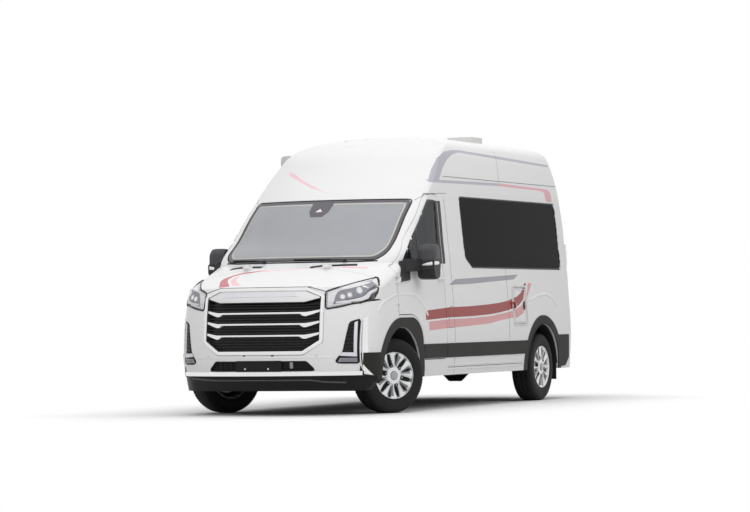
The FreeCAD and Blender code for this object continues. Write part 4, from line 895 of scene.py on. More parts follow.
def corner_units():
    """Corner vents: dark field with louvres, a lilac light bar with a foot, and a fog lamp under it."""
    low_edge = [(0.725, 0.500), (0.775, 0.580), (0.800, 0.640), (0.836, 0.862)]
    outer_edge = [(0.906, 0.492), (0.908, 0.60), (0.912, 0.75), (0.914, 0.888)]
    field = slab("front", low_edge, outer_edge, 0.0015, -0.05, 0.001, along=30)
    build("corner_fields", both([field]), GLOSS_BLACK, replaces=("corner_lamps",))
    louvres = []
    for z in np.arange(0.602, 0.86, 0.036):
        start = np.interp(z, [0.60, 0.88], [0.800, 0.842])
        louvres.append(line_on("front", [(start, z), (0.868, z + 0.006)], strip(0.013, 0.006, -0.01, 0.004)))
    build("corner_louvres", both(louvres), BLACK)
    bar = slab("front", [(0.872, 0.575), (0.872, 0.72), (0.873, 0.868)],
               [(0.894, 0.565), (0.896, 0.72), (0.896, 0.880)], 0.006, -0.006, 0.003, along=20)
    foot = slab("front", [(0.757, 0.560), (0.894, 0.550)], [(0.782, 0.592), (0.894, 0.588)], 0.006, -0.006, 0.003)
    build("day_lights", both([bar, foot]), LILAC)
    frame_line = line_on("front", [(0.722, 0.508), (0.790, 0.600), (0.838, 0.870), (0.914, 0.895), (0.908, 0.488),
                                   (0.75, 0.492)], strip(0.008, 0.004, -0.01), 0.012, ring=True)
    build("corner_borders", both([frame_line]), GLOSS_BLACK)
    fog = slab("front", [(0.745, 0.502), (0.895, 0.500)], [(0.765, 0.540), (0.895, 0.538)], 0.004, -0.01, 0.004)
    build("fog_lamps", both([fog]), LAMP)
    lens_ribs = [line_on("front", [(x, 0.506), (x, 0.532)], strip(0.004, 0.006, 0.0), step=0.01)
                 for x in np.arange(0.775, 0.89, 0.014)]
    build("fog_lamp_ribs", both(lens_ribs), LAMP_DARK)
    fin_line = [(0.950, 0.392), (0.928, 0.420), (0.918, 0.460), (0.915, 0.520), (0.915, 0.640), (0.917, 0.760),
                (0.921, 0.905)]
    fin_section = [(-0.008, -0.004), (-0.006, 0.008), (-0.002, 0.011), (0.003, 0.011), (0.006, 0.006), (0.008, -0.004)]
    fin = line_on("front", fin_line, fin_section, 0.05)
    flare = slab("front", [(0.926, 0.475), (0.930, 0.388)], [(0.931, 0.475), (0.982, 0.374)], 0.007, -0.01, 0.003)
    build("corner_fins", both([fin, flare]), CHROME_WHITE)
    groove = line_on("front", [(0.938, 0.44), (0.934, 0.50), (0.933, 0.70), (0.936, 0.892)],
                     strip(0.020, 0.0035, -0.004, 0.002))
    build("corner_grooves", both([groove]), DARK_CHROME)


def screen_details():
    """Windscreen border and pale pillar trim, sensor housing, cowl strip, bonnet vents and wipers."""
    ring = [(-0.850, 1.535), (-0.832, 2.058), (0.832, 2.058), (0.850, 1.535), (0.790, 1.462), (-0.790, 1.462)]
    corner = [0.09, 0.035, 0.035, 0.09, 0.14, 0.14]
    inside = [(x * 0.984, z + (0.013 if z < 1.8 else -0.016)) for x, z in ring]
    trim = [(x * 0.955, z + (0.034 if z < 1.8 else -0.040)) for x, z in ring]
    outside = [(x * 1.004, z + (-0.003 if z < 1.8 else 0.002)) for x, z in ring]
    for name, line, section, finish in (
            ("screen_border", inside, strip(0.036, 0.0012, -0.004, 0.0005), SEAL),
            ("screen_seal", outside, strip(0.013, 0.002, -0.01, 0.001), BLACK),
            ("screen_pillar_trim", trim, strip(0.015, 0.0006, -0.002, 0.0003), PILLAR_TRIM)):
        build(name, [line_on("front", line, section, corner, ring=True, step=0.03)], finish)
    housing_edge = [(-0.060, 1.893), (-0.105, 1.945), (-0.115, 2.045)]
    housing = slab("front", housing_edge, [(-x, z) for x, z in housing_edge], 0.0012, -0.004, 0.0005)
    build("sensor_housing", [housing], SEAL)
    eye = slab("front", [(-0.035, 1.945), (0.0, 1.975)], [(-0.020, 1.940), (0.035, 1.945)], 0.0025, 0.0, 0.0005)
    build("sensor_eye", [eye], LILAC)
    cowl = line_on("front", [(-0.80, 1.450), (-0.62, 1.444), (0.62, 1.444), (0.80, 1.450)],
                   strip(0.016, 0.002, -0.01, 0.002), 0.1, step=0.03)
    build("cowl_strip", [cowl], BLACK)
    slots = [line_on("top", points, strip(0.050, 0.003, -0.006, 0.002), 0.05)
             for points in ([(-0.669, -2.124), (-0.560, -2.140), (-0.450, -2.172), (-0.292, -2.212)],
                            [(0.235, -2.252), (0.330, -2.200), (0.480, -2.150), (0.650, -2.075)])]
    build("cowl_slots", slots, BLACK)
    arms = []
    blade = [(-0.004, 0.004), (-0.0015, 0.011), (0.0015, 0.011), (0.004, 0.004), (0.0, -0.005)]
    for start, middle, end in (((-0.30, 1.448), (-0.46, 1.456), (-0.70, 1.462)),
                               ((0.52, 1.450), (0.30, 1.456), (0.02, 1.458))):
        place, normal = SKIN.spots("front", evenly(rounded([start, middle, end], 0.1, closed=False), 0.03))
        arms.append(sweep(place + normal * 0.018, normal, tube(0.005)))
        place, normal = SKIN.spots("front", evenly([(start[0] * 0.4 + middle[0] * 0.6, middle[1] + 0.004),
                                                    (end[0] * 1.02, end[1] + 0.005)], 0.03))
        arms.append(sweep(place + normal * 0.006, normal, blade))
    pivots = [crowned("front", rounded(box_line(x - 0.016, 1.436, x + 0.016, 1.456), 0.009), 0.022, -0.004)
              for x in (-0.30, 0.52)]
    build("wipers", arms + pivots, BLACK)
    covers = [block((x - 0.030, -2.310, 1.386), (x + 0.030, -2.268, 1.4118), 0.006) for x in (-0.42, 0.42)]
    build("bonnet_hinge_covers", covers, PAINT, "bonnet_panel")


def side_windows():
    """Rubber seals round the side and rear windows, and the door windows' guide bars."""
    left = [(-0.185, 1.500), (-0.205, 2.105), (2.487, 2.105), (2.514, 1.398), (-0.025, 1.398)]
    seal_section = strip(0.014, 0.002, -0.008, 0.001)
    seals = [line_on("left", left, seal_section, [0.06, 0.03, 0.03, 0.045, 0.09], ring=True)]
    slide = [(-0.475, 1.398), (-0.475, 2.105), (0.705, 2.105), (0.705, 1.398)]
    rear_side = [(0.805, 1.398), (0.805, 2.105), (2.487, 2.105), (2.514, 1.398)]
    seals += [mirrored(line_on("left", outline, seal_section, 0.045, ring=True)) for outline in (slide, rear_side)]
    build("side_window_seals", seals, GLOSS_BLACK)
    corners = []
    for i, radius in ((1, 0.05), (2, 0.08), (3, 0.08)):
        here, before, after = (np.array(left[j % 5]) for j in (i, i - 1, i + 1))
        start, end = here + unit(before - here) * radius, here + unit(after - here) * radius
        tip, near, far = [here + (start - here) * a + (end - here) * b
                          for a, b in ((0.1, 0.1), (0.42, 0.10), (0.10, 0.42))]
        corners.append(slab("left", [start, tip, end], [start, near, far, end], 0.0045, -0.004, 0.0005))
    build("side_window_corners", corners, UPPER_PAINT)
    frits = [line_on("left", [(0.62, 1.41), (0.62, 2.09)], strip(0.05, -0.001, -0.003, 0.0005)),
             line_on("left", [(-0.14, 1.52), (-0.14, 2.08)], strip(0.07, -0.001, -0.003, 0.0005))]
    build("side_window_bars", frits, BLACK)
    outline = [(-1.750, 1.440), (-1.023, 2.045), (-0.840, 2.045), (-0.867, 1.440)]
    seal = line_on("left", outline, strip(0.026, 0.003, -0.008, 0.002), [0.03, 0.05, 0.035, 0.035], ring=True)
    rail = line_on("left", [(-1.36, 1.45), (-1.36, 1.76)], strip(0.024, 0.001, -0.006))
    build_pair("door_window_seal", "front_door", [seal, rail], GLOSS_BLACK)
    band, post = [slab("left", near, far, 0.0025, -0.008, 0.001) for near, far in (
        ([(-0.868, 1.430), (-0.845, 2.050)], [(-0.790, 1.430), (-0.790, 2.050)]),
        ([(-0.773, 1.430), (-0.773, 2.050)], [(-0.715, 1.430), (-0.705, 2.050)]))]
    build_pair("door_post_band", "front_door", [band], GLOSS_BLACK)
    build("body_post_bands", both([post]), GLOSS_BLACK)
    seal = line_on("rear", box_line(0.130, 1.398, 0.720, 2.040), strip(0.016, 0.002, -0.008, 0.001), 0.05, ring=True)
    build_pair("rear_window_seal", "rear_leaf", [seal], GLOSS_BLACK)


def door_handle(y, z, length, height=0.044):
    """Handle bar over a shallow scoop, drawn on the left side."""
    low, high = z - height / 2, z + height / 2
    outline = rounded(box_line(y, low, y + length, high), height * 0.45)
    scoop = line_on("left", outline, [(-0.005, -0.003), (-0.002, 0.003), (0.002, 0.003), (0.006, -0.003)],
                    ring=True, step=0.008)
    bar_path, normal = SKIN.spots("left", evenly([(y + 0.006, z + 0.004), (y + length - 0.006, z + 0.004)], 0.01))
    swell = 0.010 + 0.020 * np.sin(np.linspace(0, math.pi, len(bar_path))) ** 0.6
    bar = sweep(bar_path + normal * swell[:, None], normal, strip(0.024, 0.008, -0.006, 0.005))
    return scoop, bar


def side_details():
    """Handles, seams, the fuel flap's outline, pressed arcs over the wheels and steps along the sill."""
    scoop, bar = door_handle(-0.955, 1.276, 0.165, 0.062)
    build_pair("door_handle", "front_door", [scoop, bar], PAINT)
    seam = hairline(0.005)
    seams = [line_on("left", [(-0.581, 0.660), (-0.583, 1.20), (-0.600, 2.08)], seam),
             line_on("left", [(0.891, 0.660), (0.891, 1.385)], seam),
             line_on("left", [(-0.581, 0.340), (-0.581, 0.500)], seam),
             line_on("left", [(-1.145, 2.050), (-1.047, 2.096), (-0.915, 2.118), (-0.522, 2.132)], seam, 0.1),
             line_on("left", [(-0.73, 0.800), (-0.71, 0.96), (-0.66, 1.008), (-0.600, 1.010)], seam, 0.04),
             line_on("left", [(-0.73, 0.800), (-0.600, 0.800)], seam)]
    build("side_seams", both(seams), SEAM)
    grip_edge = line_on("left", rounded([(-0.400, 1.150), (-0.345, 1.035), (-0.325, 1.035), (-0.375, 1.165)], 0.012),
                        [(-0.005, -0.003), (-0.001, 0.003), (0.002, 0.003), (0.006, -0.003)], ring=True, step=0.008)
    grip = crowned("left", rounded([(-0.392, 1.148), (-0.348, 1.045), (-0.334, 1.045), (-0.376, 1.156)], 0.008),
                   0.002, -0.01)
    build("recessed_grip", [grip_edge, grip], PAINT)
    crease = [(-0.022, -0.002), (-0.010, 0.0045), (0.002, 0.006), (0.012, 0.003), (0.020, -0.002)]
    front = [(-2.406, 0.961), (-2.325, 1.044), (-2.011, 1.120), (-1.955, 1.123)]
    door = [(-1.930, 1.125), (-1.771, 1.129), (-1.532, 1.120), (-1.330, 1.023), (-1.248, 0.925)]
    rear = [(1.521, 1.067), (1.767, 1.115), (1.979, 1.131), (2.183, 1.098), (2.287, 1.012)]
    build("arch_creases", both([line_on("left", front, crease, 0.2), line_on("left", rear, crease, 0.2)]), PAINT)
    build_pair("door_crease", "front_door", [line_on("left", door, crease, 0.2)], PAINT)
    tread = [(-0.010, -0.003), (-0.006, 0.004), (0.004, 0.0045), (0.010, -0.003)]
    steps = [line_on("left", [(-0.74, z), (1.28, z)], tread, step=0.1) for z in (0.430, 0.388)]
    build("sill_steps", both(steps), PAINT)
    shadow = [line_on("left", [(-0.74, 0.408), (1.28, 0.408)], hairline(0.006), step=0.1)]
    build("sill_shadow_lines", both(shadow), SEAM)
    lip = [(-0.012, -0.002), (-0.008, 0.0095), (0.004, 0.0105), (0.010, 0.007)]
    angle = np.linspace(math.radians(4), math.radians(176), 40)
    arch = np.stack([REAR_AXLE + ARCH_RADIUS * np.cos(angle), WHEEL_RADIUS + ARCH_RADIUS * np.sin(angle)], -1)
    build("arch_lips", both([line_on("left", arch, lip, step=0.04)]), CLADDING)
    liners = []
    for axle, first, last in ((FRONT_AXLE, -6, 78), (REAR_AXLE, 4, 176)):
        angle = np.linspace(math.radians(first), math.radians(last), 30)
        ray = np.stack([0 * angle, np.cos(angle), np.sin(angle)], -1)
        path = np.array([0.895, axle, WHEEL_RADIUS]) + ray * LINER_RADIUS
        liners.append(sweep(path, -ray, strip(0.216, 0.003, -0.001, 0.001)))
    build("arch_liners", both(liners), STEEL)
    cap_joint = line_on("left", [(1.067, 2.638), (1.02, 2.50), (0.96, 2.31)], hairline(0.004))
    build("cap_side_joints", both([cap_joint]), SEAM)
    rail = [mirrored(line_on("left", [(0.80, 1.285), (2.55, 1.285)], strip(0.030, 0.010, -0.004, 0.004), step=0.1))]
    build("sliding_door_rail", rail, BLACK)
    scoop, bar = door_handle(-0.50, 1.20, 0.17)
    build("sliding_door_handle", [mirrored(scoop), mirrored(bar)], PAINT)


def service_hatch():
    """Raised white frame and lip of the service flap, with its oval lock."""
    outline = [(1.020, 0.810), (1.020, 1.210), (1.410, 1.210), (1.410, 0.810)]
    frame_line = line_on("left", outline, [(-0.014, -0.003), (-0.011, 0.006), (0.010, 0.006), (0.014, -0.003)], 0.035,
                         ring=True)
    build("service_frame", [frame_line], WHITE_PLASTIC)
    inside = [(1.052, 0.842), (1.052, 1.178), (1.378, 1.178), (1.378, 0.842)]
    lip = line_on("left", inside, [(-0.006, -0.003), (-0.004, 0.003), (0.004, 0.003), (0.006, -0.003)], 0.025,
                  ring=True)
    build("service_flap_lip", [lip], WHITE_PLASTIC, "flap")
    lock = disc_on("left", (1.335, 1.010), (0.024, 0.046), 0.008)
    build("service_flap_lock", [lock], GLOSS_BLACK, "flap")


# Slope of the mirror heads' backs, and the half width it starts from
MIRROR_LEAN = (0.02, 1.04)


def door_mirrors():
    """Mirror heads lofted along the width, with a bright strip, folding arm, foot and glass."""
    back = [(-1.520, 1.285), (-1.465, 1.268), (-1.410, 1.275), (-1.385, 1.310), (-1.380, 1.570), (-1.410, 1.608),
            (-1.485, 1.612), (-1.533, 1.560), (-1.540, 1.350)]
    stages = [(1.040, 0.86), (1.047, 0.95), (1.062, 0.99), (1.10, 1.0), (1.16, 1.0), (1.195, 0.97), (1.209, 0.90),
              (1.215, 0.78)]
    head = stacked(bent(back, 0.035), stages, 0, MIRROR_LEAN)
    strip_path = [(1.095, -1.5485, 1.408), (1.150, -1.5485, 1.414), (1.195, -1.5460, 1.420), (1.2185, -1.525, 1.423),
                  (1.2200, -1.480, 1.425), (1.2185, -1.430, 1.426)]
    strip_normal = [(0, -1, 0), (0, -1, 0), (0.3, -0.95, 0), (0.95, -0.3, 0), (1, 0, 0), (1, 0, 0)]
    wide = np.array([0.3, 0.8, 1.0, 1.0, 1.0, 0.7])[:, None, None]
    section = strip(0.034, 0.005, -0.010, 0.003)[None] * np.concatenate([wide, np.ones_like(wide)], axis=2)
    bright = sweep(strip_path, strip_normal, section)
    band = [(-1.547, 1.350), (-1.547, 1.456), (-1.375, 1.468), (-1.375, 1.360)]
    wrap = stacked(bent(band, 0.02), [(1.030, 0.90), (1.036, 1.0), (1.206, 1.0), (1.2175, 0.92)], 0)
    arm_plan = [(0.985, -1.785), (1.010, -1.780), (1.090, -1.545), (1.090, -1.450), (1.050, -1.460), (0.985, -1.690)]
    arm = stacked(bent(arm_plan, 0.02), [(1.345, 0.90), (1.356, 1), (1.456, 1), (1.466, 0.93)])
    foot_plan = [(-1.872, 1.243), (-1.640, 1.262), (-1.672, 1.447), (-1.795, 1.447)]
    foot = stacked(bent(foot_plan, 0.012), [(0.960, 1), (1.008, 1), (1.014, 0.96)], 0)
    lower_outline = [(-1.522, 1.284), (-1.465, 1.266), (-1.408, 1.273), (-1.383, 1.310), (-1.381, 1.40),
                     (-1.541, 1.40), (-1.541, 1.345)]
    lower_stages = [(1.037, 0.90), (1.046, 0.99), (1.10, 1.012), (1.17, 1.012), (1.203, 0.975), (1.217, 0.85)]
    lower = stacked(bent(lower_outline, 0.03), lower_stages, 0, MIRROR_LEAN)
    inner = box_line(1.055, 1.30, 1.200, 1.585)
    glass = stacked(bent(inner, 0.03, 0.015), [(-1.384, 1), (-1.379, 0.98)], 1)
    build_pair("mirror_shell", "front_door", [head], MIRROR_GREY, "mirror")
    build_pair("mirror_arm", "front_door", [wrap, arm, foot, lower], MIRROR_BLACK)
    build_pair("mirror_strip", "front_door", [bright], CHROME_WHITE)
    build_pair("mirror_glass", "front_door", [glass], CHROME)


def roof_details():
    """Seam under the roof cap, pressed ribs on the roof, vent frame ribs, and the awning's end caps and seams."""
    seam = line_on("left", [(-0.55, 2.302), (2.62, 2.302)], strip(0.006, 0.001, -0.003, 0.0003), step=0.1)
    build("cap_seams", both([seam]), SEAM)
    rib = [(-0.03, -0.002), (-0.018, 0.006), (0.018, 0.006), (0.03, -0.002)]
    ribs = [line_on("top", [(x, -0.10), (x, 2.45)], rib, step=0.1) for x in (-0.36, -0.12)]
    build("roof_ribs", ribs, PAINT)
    (x0, y0, _), (_, y1, z1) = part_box("roof_vent_lid")
    lid_ribs = [block((x + 0.02, y0 + 0.03, z1 - 0.004), (x + 0.034, y1 - 0.03, z1 - 0.0005), 0.003)
                for x in x0 + np.arange(6) * 0.04]
    build("vent_lid_ribs", lid_ribs, WHITE_PLASTIC, "vent_lid")
    (_, y0, _), (_, y1, _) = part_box("awning_case")
    section = rounded([(-1.003, 2.470), (-0.998, 2.560), (-0.960, 2.5765), (-0.80, 2.574), (-0.80, 2.456),
                       (-0.975, 2.453)], 0.012)
    caps = [stacked(section, [(start, 0.95), (start + 0.004, 0.995), (end - 0.004, 0.995), (end, 0.95)], 1)
            for start, end in ((y0 - 0.001, y0 + 0.035), (y1 - 0.035, y1 + 0.001))]
    path = [(-1.001, y, 2.50) for y in np.linspace(y0 + 0.04, y1 - 0.04, 20)]
    line = sweep(path, (-1, 0, 0), strip(0.008, 0.001, -0.004))
    build("awning_caps", caps, WHITE_PLASTIC)
    build("awning_line", [line], WHEEL_GREY)


def rear_details():
    """Tail lamp segments, plate recess with lamps, rear handle, high stop lamp, reflectors, step tread, door seal."""
    for name, finish, low, high in (("upper", RED_LAMP, 1.40, 1.68), ("middle", AMBER_LAMP, 1.24, 1.385),
                                    ("lower", RED_LAMP, 0.915, 1.225)):
        ribs = [line_on("rear", [(0.945, z), (0.985, z)], strip(0.006, 0.004, -0.002), step=0.01)
                for z in np.arange(low + 0.02, high - 0.01, 0.022)]
        inner, outer = [[(x, z) for x, z in zip(np.interp([low, high], [1.2, 1.4, 1.7], edge), (low, high))]
                        for edge in ([0.935, 0.915, 0.895], [0.985, 0.958, 0.935])]
        lens = slab("rear", inner, outer, 0.003, -0.01, 0.002, along=16)
        build("tail_lens_" + name, both([lens] + ribs), finish)
    recess = line_on("rear", [(0.06, 0.93), (0.06, 1.10), (0.60, 1.10), (0.60, 0.93)],
                     strip(0.012, 0.005, -0.004, 0.003), 0.02, ring=True)
    plate = crowned("rear", rounded(box_line(0.075, 0.945, 0.585, 1.085), 0.01), 0.002, -0.01)
    lamps = [crowned("rear", rounded(box_line(x, 1.115, x + 0.06, 1.135), 0.006), 0.012) for x in (0.18, 0.42)]
    build("plate_recess", [recess] + lamps, BLACK, "rear_leaf_left")
    build("plate_field", [plate], WHITE_PLASTIC, "rear_leaf_left")
    grip = line_on("rear", [(-0.05, 1.02), (-0.05, 1.22)], strip(0.036, 0.022, -0.004, 0.012), step=0.01)
    build("rear_handle", [grip], BLACK, "rear_leaf_right")
    stop = slab("rear", [(-0.22, 2.262), (0.22, 2.262)], [(-0.22, 2.288), (0.22, 2.288)], 0.008, -0.006, 0.004)
    build("high_stop_lamp", [stop], RED_LAMP)
    reflector = stacked(rounded(box_line(0.70, 0.44, 0.84, 0.48), 0.01), [(y, 1) for y in (2.88, 2.9265, 2.928)], 1)
    build("rear_reflectors", both([reflector]), RED_LAMP)
    step = [block((-0.62, 2.86, 0.545), (0.62, 2.915, 0.5555), 0.004)]
    ribs = [block((x, 2.862, 0.553), (x + 0.02, 2.913, 0.558), 0.002, 2) for x in np.arange(-0.58, 0.57, 0.045)]
    build("rear_step_tread", step + ribs, BLACK)
    seam = line_on("rear", [(0.010, 0.60), (0.010, 2.20)], strip(0.024, 0.003, -0.004, 0.001), step=0.05)
    build("rear_door_seal", [seam], BLACK, "rear_leaf_left")


TYRE_STEPS = 288
GROOVE_DEPTH = 0.006
SPOKES = 12
LUGS = 6
LUG_CIRCLE = 0.096


def wheel_frames():
    """Centre, outward axis and body of each wheel, from its spin joint."""
    rows = []
    for end in ("front", "rear"):
        for side, sign in (("left", 1), ("right", -1)):
            joint = joints[f"spin_{end}_{side}"]
            centre, axis = np.array(joint["pos_m"]), sign * np.array(joint["axis"])
            rows.append((f"{end}_{side}", centre, axis, f"wheel_{end}_{side}"))
    return rows


def tyre(centre, axis):
    """Tyre: a closed profile turned about the axis. Cross grooves lower the shoulders by a wave of the angle."""
    tread = [(-0.079, 0.3545), (-0.052, 0.3555), (-0.050, 0.348), (-0.043, 0.348), (-0.041, 0.356), (-0.005, 0.356),
             (-0.003, 0.348), (0.004, 0.348), (0.006, 0.356), (0.041, 0.356), (0.043, 0.348), (0.050, 0.348),
             (0.052, 0.3555), (0.079, 0.3545)]
    wall = [(0.092, 0.350), (0.102, 0.340), (0.107, 0.325), (0.1085, 0.323), (0.110, 0.310), (0.1118, 0.306),
            (0.1122, 0.290), (0.1125, 0.275), (0.1105, 0.262), (0.1112, 0.258), (0.109, 0.246), (0.104, 0.2335),
            (0.098, 0.228), (0.090, 0.2225)]
    profile = np.array([(-w, r) for w, r in wall[::-1]] + tread + wall)
    verts, faces = lathe(profile, centre, axis, TYRE_STEPS)
    grid = verts.reshape(TYRE_STEPS, len(profile), 3)
    notch = np.arange(TYRE_STEPS) % 4 == 0
    shoulder = (np.abs(profile[:, 0]) > 0.05) & (profile[:, 1] > 0.335)
    from_axis = grid - centre
    radial = unit(from_axis - (from_axis @ axis)[..., None] * axis)
    grid = grid - radial * (notch[:, None] * shoulder[None, :] * GROOVE_DEPTH)[..., None]
    return grid.reshape(-1, 3), faces


def wheel_axes(axis):
    """Outward axis with the two directions across it: towards the left and down as the wheel is looked at."""
    axis = unit(np.asarray(axis, dtype=float))
    first = unit(np.cross(axis, (0.0, 0.0, 1.0)))
    return axis, first, np.cross(axis, first)


def rim(centre, axis):
    """Rim barrel, lip and hub, with twelve broad ridged spokes in six pairs that lean together at the hub.

    Each spoke has a darker facet on the flank towards its partner, as a second set of forms: painted reflection, a
    darker grey standing for the reflection that flank shows.
    """
    lip = [(0.1045, 0.2225), (0.1085, 0.2215), (0.1090, 0.2180), (0.1050, 0.2150), (0.094, 0.2100), (0.070, 0.2050),
           (-0.095, 0.2010), (-0.103, 0.2215)]
    hub = [(0.096, 0.0005), (0.096, 0.040), (0.1035, 0.044), (0.1030, 0.062), (0.098, 0.082), (0.090, 0.104),
           (0.060, 0.108), (0.050, 0.0005)]
    forms = [lathe(lip, centre, axis, 120), lathe(hub, centre, axis, 72)]
    axis, first, second = wheel_axes(axis)
    reach = np.array([0.050, 0.080, 0.110, 0.140, 0.170, 0.195, 0.214])
    crown = np.array([0.1035, 0.1030, 0.1020, 0.1020, 0.1035, 0.1055, 0.1060])
    width = np.array([0.0110, 0.0150, 0.0185, 0.0225, 0.0275, 0.0350, 0.0480])
    lean = np.array([0.070, 0.080, 0.070, 0.045, 0.018, 0.000, 0.000])
    facets = []
    for i in range(SPOKES):
        angle = math.radians(1 + 360 / SPOKES * i)
        hand = 1 if i % 2 == 0 else -1
        loops, flank = [], []
        for r, top, wide, skew in zip(reach, crown, width, lean):
            around = angle + hand * skew
            ray = math.cos(around) * first + math.sin(around) * second
            across = np.cross(axis, ray)
            shape = np.array([(-wide, top - 0.034), (-wide, top - 0.014), (-wide * 0.80, top - 0.009),
                              (-wide * 0.10, top), (wide * 0.10, top), (wide * 0.80, top - 0.009),
                              (wide, top - 0.014), (wide, top - 0.034)])
            loops.append(centre + ray * r + across * shape[:, :1] + axis * shape[:, 1:])
            cut = np.array([(wide * 0.25, top - 0.006), (wide * 0.25, top - 0.0012), (wide * 0.84, top - 0.0085),
                            (wide * 1.02, top - 0.014), (wide * 0.9, top - 0.020)]) * (hand, 1)
            flank.append(centre + ray * r + across * cut[:, :1] + axis * cut[:, 1:])
        forms.append(loft(np.stack(loops)))
        facets.append(loft(np.stack(flank[1:-1])))
    return forms, facets


def wheels():
    """Tyres, rims, lug nuts and centre caps on the wheels, with black rings round the nuts and a dark disc behind the
    spokes as painted shade, and brake discs on the parts that carry them.
    """
    for name, centre, axis, body in wheel_frames():
        build("tyre_tread_" + name, [tyre(centre, axis)], RUBBER, body, replaces=("tyre_" + name,), crease=28)
        spokes, facets = rim(centre, axis)
        build("wheel_rim_" + name, spokes, ALLOY, body, replaces=("rim_" + name,), crease=24)
        # Darker grey facets on the spoke flanks: painted reflection
        build("wheel_reflection_facets_" + name, facets, WHEEL_GREY, body, crease=24)
        axis, first, second = wheel_axes(axis)
        nuts, wells = [], []
        for i in range(LUGS):
            angle = math.radians(46 + 360 / LUGS * i)
            place = centre + (math.cos(angle) * first + math.sin(angle) * second) * LUG_CIRCLE
            well = [(0.085, 0.0005), (0.085, 0.0180), (0.0995, 0.0190), (0.1005, 0.0170), (0.0995, 0.0005)]
            nut = [(0.096, 0.0005), (0.096, 0.0105), (0.1035, 0.0100), (0.1055, 0.0075), (0.1055, 0.0005)]
            wells.append(lathe(well, place, axis, 24))
            nuts.append(lathe(nut, place, axis, 6))
        # Black rings round the nuts: painted shade of the lug pockets
        build("lug_well_shades_" + name, wells, GLOSS_BLACK, body)
        build("lug_nuts_" + name, nuts, WHEEL_GREY, body)
        cap = [(0.095, 0.0005), (0.095, 0.0400), (0.1085, 0.0395), (0.1105, 0.0370), (0.1110, 0.0300), (0.1118, 0.0290),
               (0.1122, 0.0150), (0.1122, 0.0005)]
        build("wheel_cap_" + name, [lathe(cap, centre, axis, 48)], WHEEL_CAP, body)
        # Dark disc just behind the spokes: painted shade inside the wheel
        shade = [(0.066, 0.0005), (0.066, 0.2055), (0.068, 0.2055), (0.068, 0.0005)]
        build("wheel_shade_disc_" + name, [lathe(shade, centre, axis, 72)], STEEL, body)
        carrier = {"front_left": "steer_hub_left", "front_right": "steer_hub_right"}.get(name, "root")
        disc = [(-0.010, 0.080), (-0.010, 0.160), (-0.006, 0.162), (0.004, 0.162), (0.008, 0.160), (0.008, 0.080)]
        build("brake_disc_" + name, [lathe(disc, centre, axis, 72)], DISC_STEEL, carrier)


SEAT_FROM_AXLE = 0.760
STEERING_RADIUS = 0.195
FRONT_PITCH = 0.395
CUSHION_PITCH = 0.545


def seats():
    """Front seats: crowned cushions, backs and headrests, lofted from their side outlines."""
    y0 = FRONT_AXLE + SEAT_FROM_AXLE

    def pad(side, size, start, end, radius, puff):
        """Pad along a leaning line from start to end: rounded plan loops whose sides swell by a sine."""
        rows = []
        for share in np.linspace(0, 1, 18):
            y, z = np.array(start) + (np.array(end) - np.array(start)) * share
            swell = puff * math.sin(math.pi * share) ** 0.5
            half_x, half_y = size[0] * (0.86 + 0.14 * math.sin(math.pi * share) ** 0.4), size[1] + swell
            outline = rounded(box_line(-half_x, -half_y, half_x, half_y), radius, 6)
            rows.append(np.insert(outline + (side, y), 2, z, axis=1))
        return loft(np.stack(rows))

    for name, x in (("left", 0.430), ("right", -0.430)):
        cushion = pad(x, (0.245, 0.250), (y0 + 0.255, 0.948), (y0 + 0.250, 1.062), 0.06, 0.004)
        back = pad(x, (0.235, 0.055), (y0 + 0.520, 1.03), (y0 + 0.665, 1.645), 0.045, 0.018)
        head = pad(x, (0.125, 0.038), (y0 + 0.690, 1.690), (y0 + 0.725, 1.868), 0.030, 0.010)
        made = build("front_seat_" + name, [cushion, back, head], FABRIC, replaces=("seats",), crease=60)
        posts = [sweep([(x + s, y0 + 0.675, 1.60), (x + s, y0 + 0.70, 1.74)], (0, -1, 0), tube(0.007))
                 for s in (-0.06, 0.06)]
        build("headrest_posts_" + name, posts, CHROME)


def cabin():
    """Instrument hood, centre vents, screen, and the steering wheel's rim wrap and hub pad."""
    hood = block((0.24, -1.585, 1.255), (0.62, -1.47, 1.292), 0.02)
    vents = [block((x, -1.485, 1.15), (x + 0.12, -1.452, 1.21), 0.008) for x in (-0.20, 0.0, -0.80, 0.70)]
    build("dash_hood", [hood] + vents, CABIN)
    screen = block((-0.18, -1.475, 1.02), (0.14, -1.452, 1.13), 0.006)
    build("dash_screen", [screen], GLOSS_BLACK)
    joint = joints["steering_turn"]
    centre, axis = np.array(joint["pos_m"]), unit(np.array(joint["axis"]))
    grip = [(0.018 * math.sin(a), STEERING_RADIUS + 0.0175 * math.cos(a)) for a in np.linspace(0, 2 * math.pi, 14)[:-1]]
    pad = [(-0.02, 0.0005), (-0.02, 0.07), (0.010, 0.075), (0.020, 0.065), (0.026, 0.04), (0.028, 0.0005)]
    forms = [lathe(grip, centre, axis, 72), lathe(pad, centre, axis, 40)]
    build("steering_rim_wrap", forms, BLACK, "steering", crease=50)


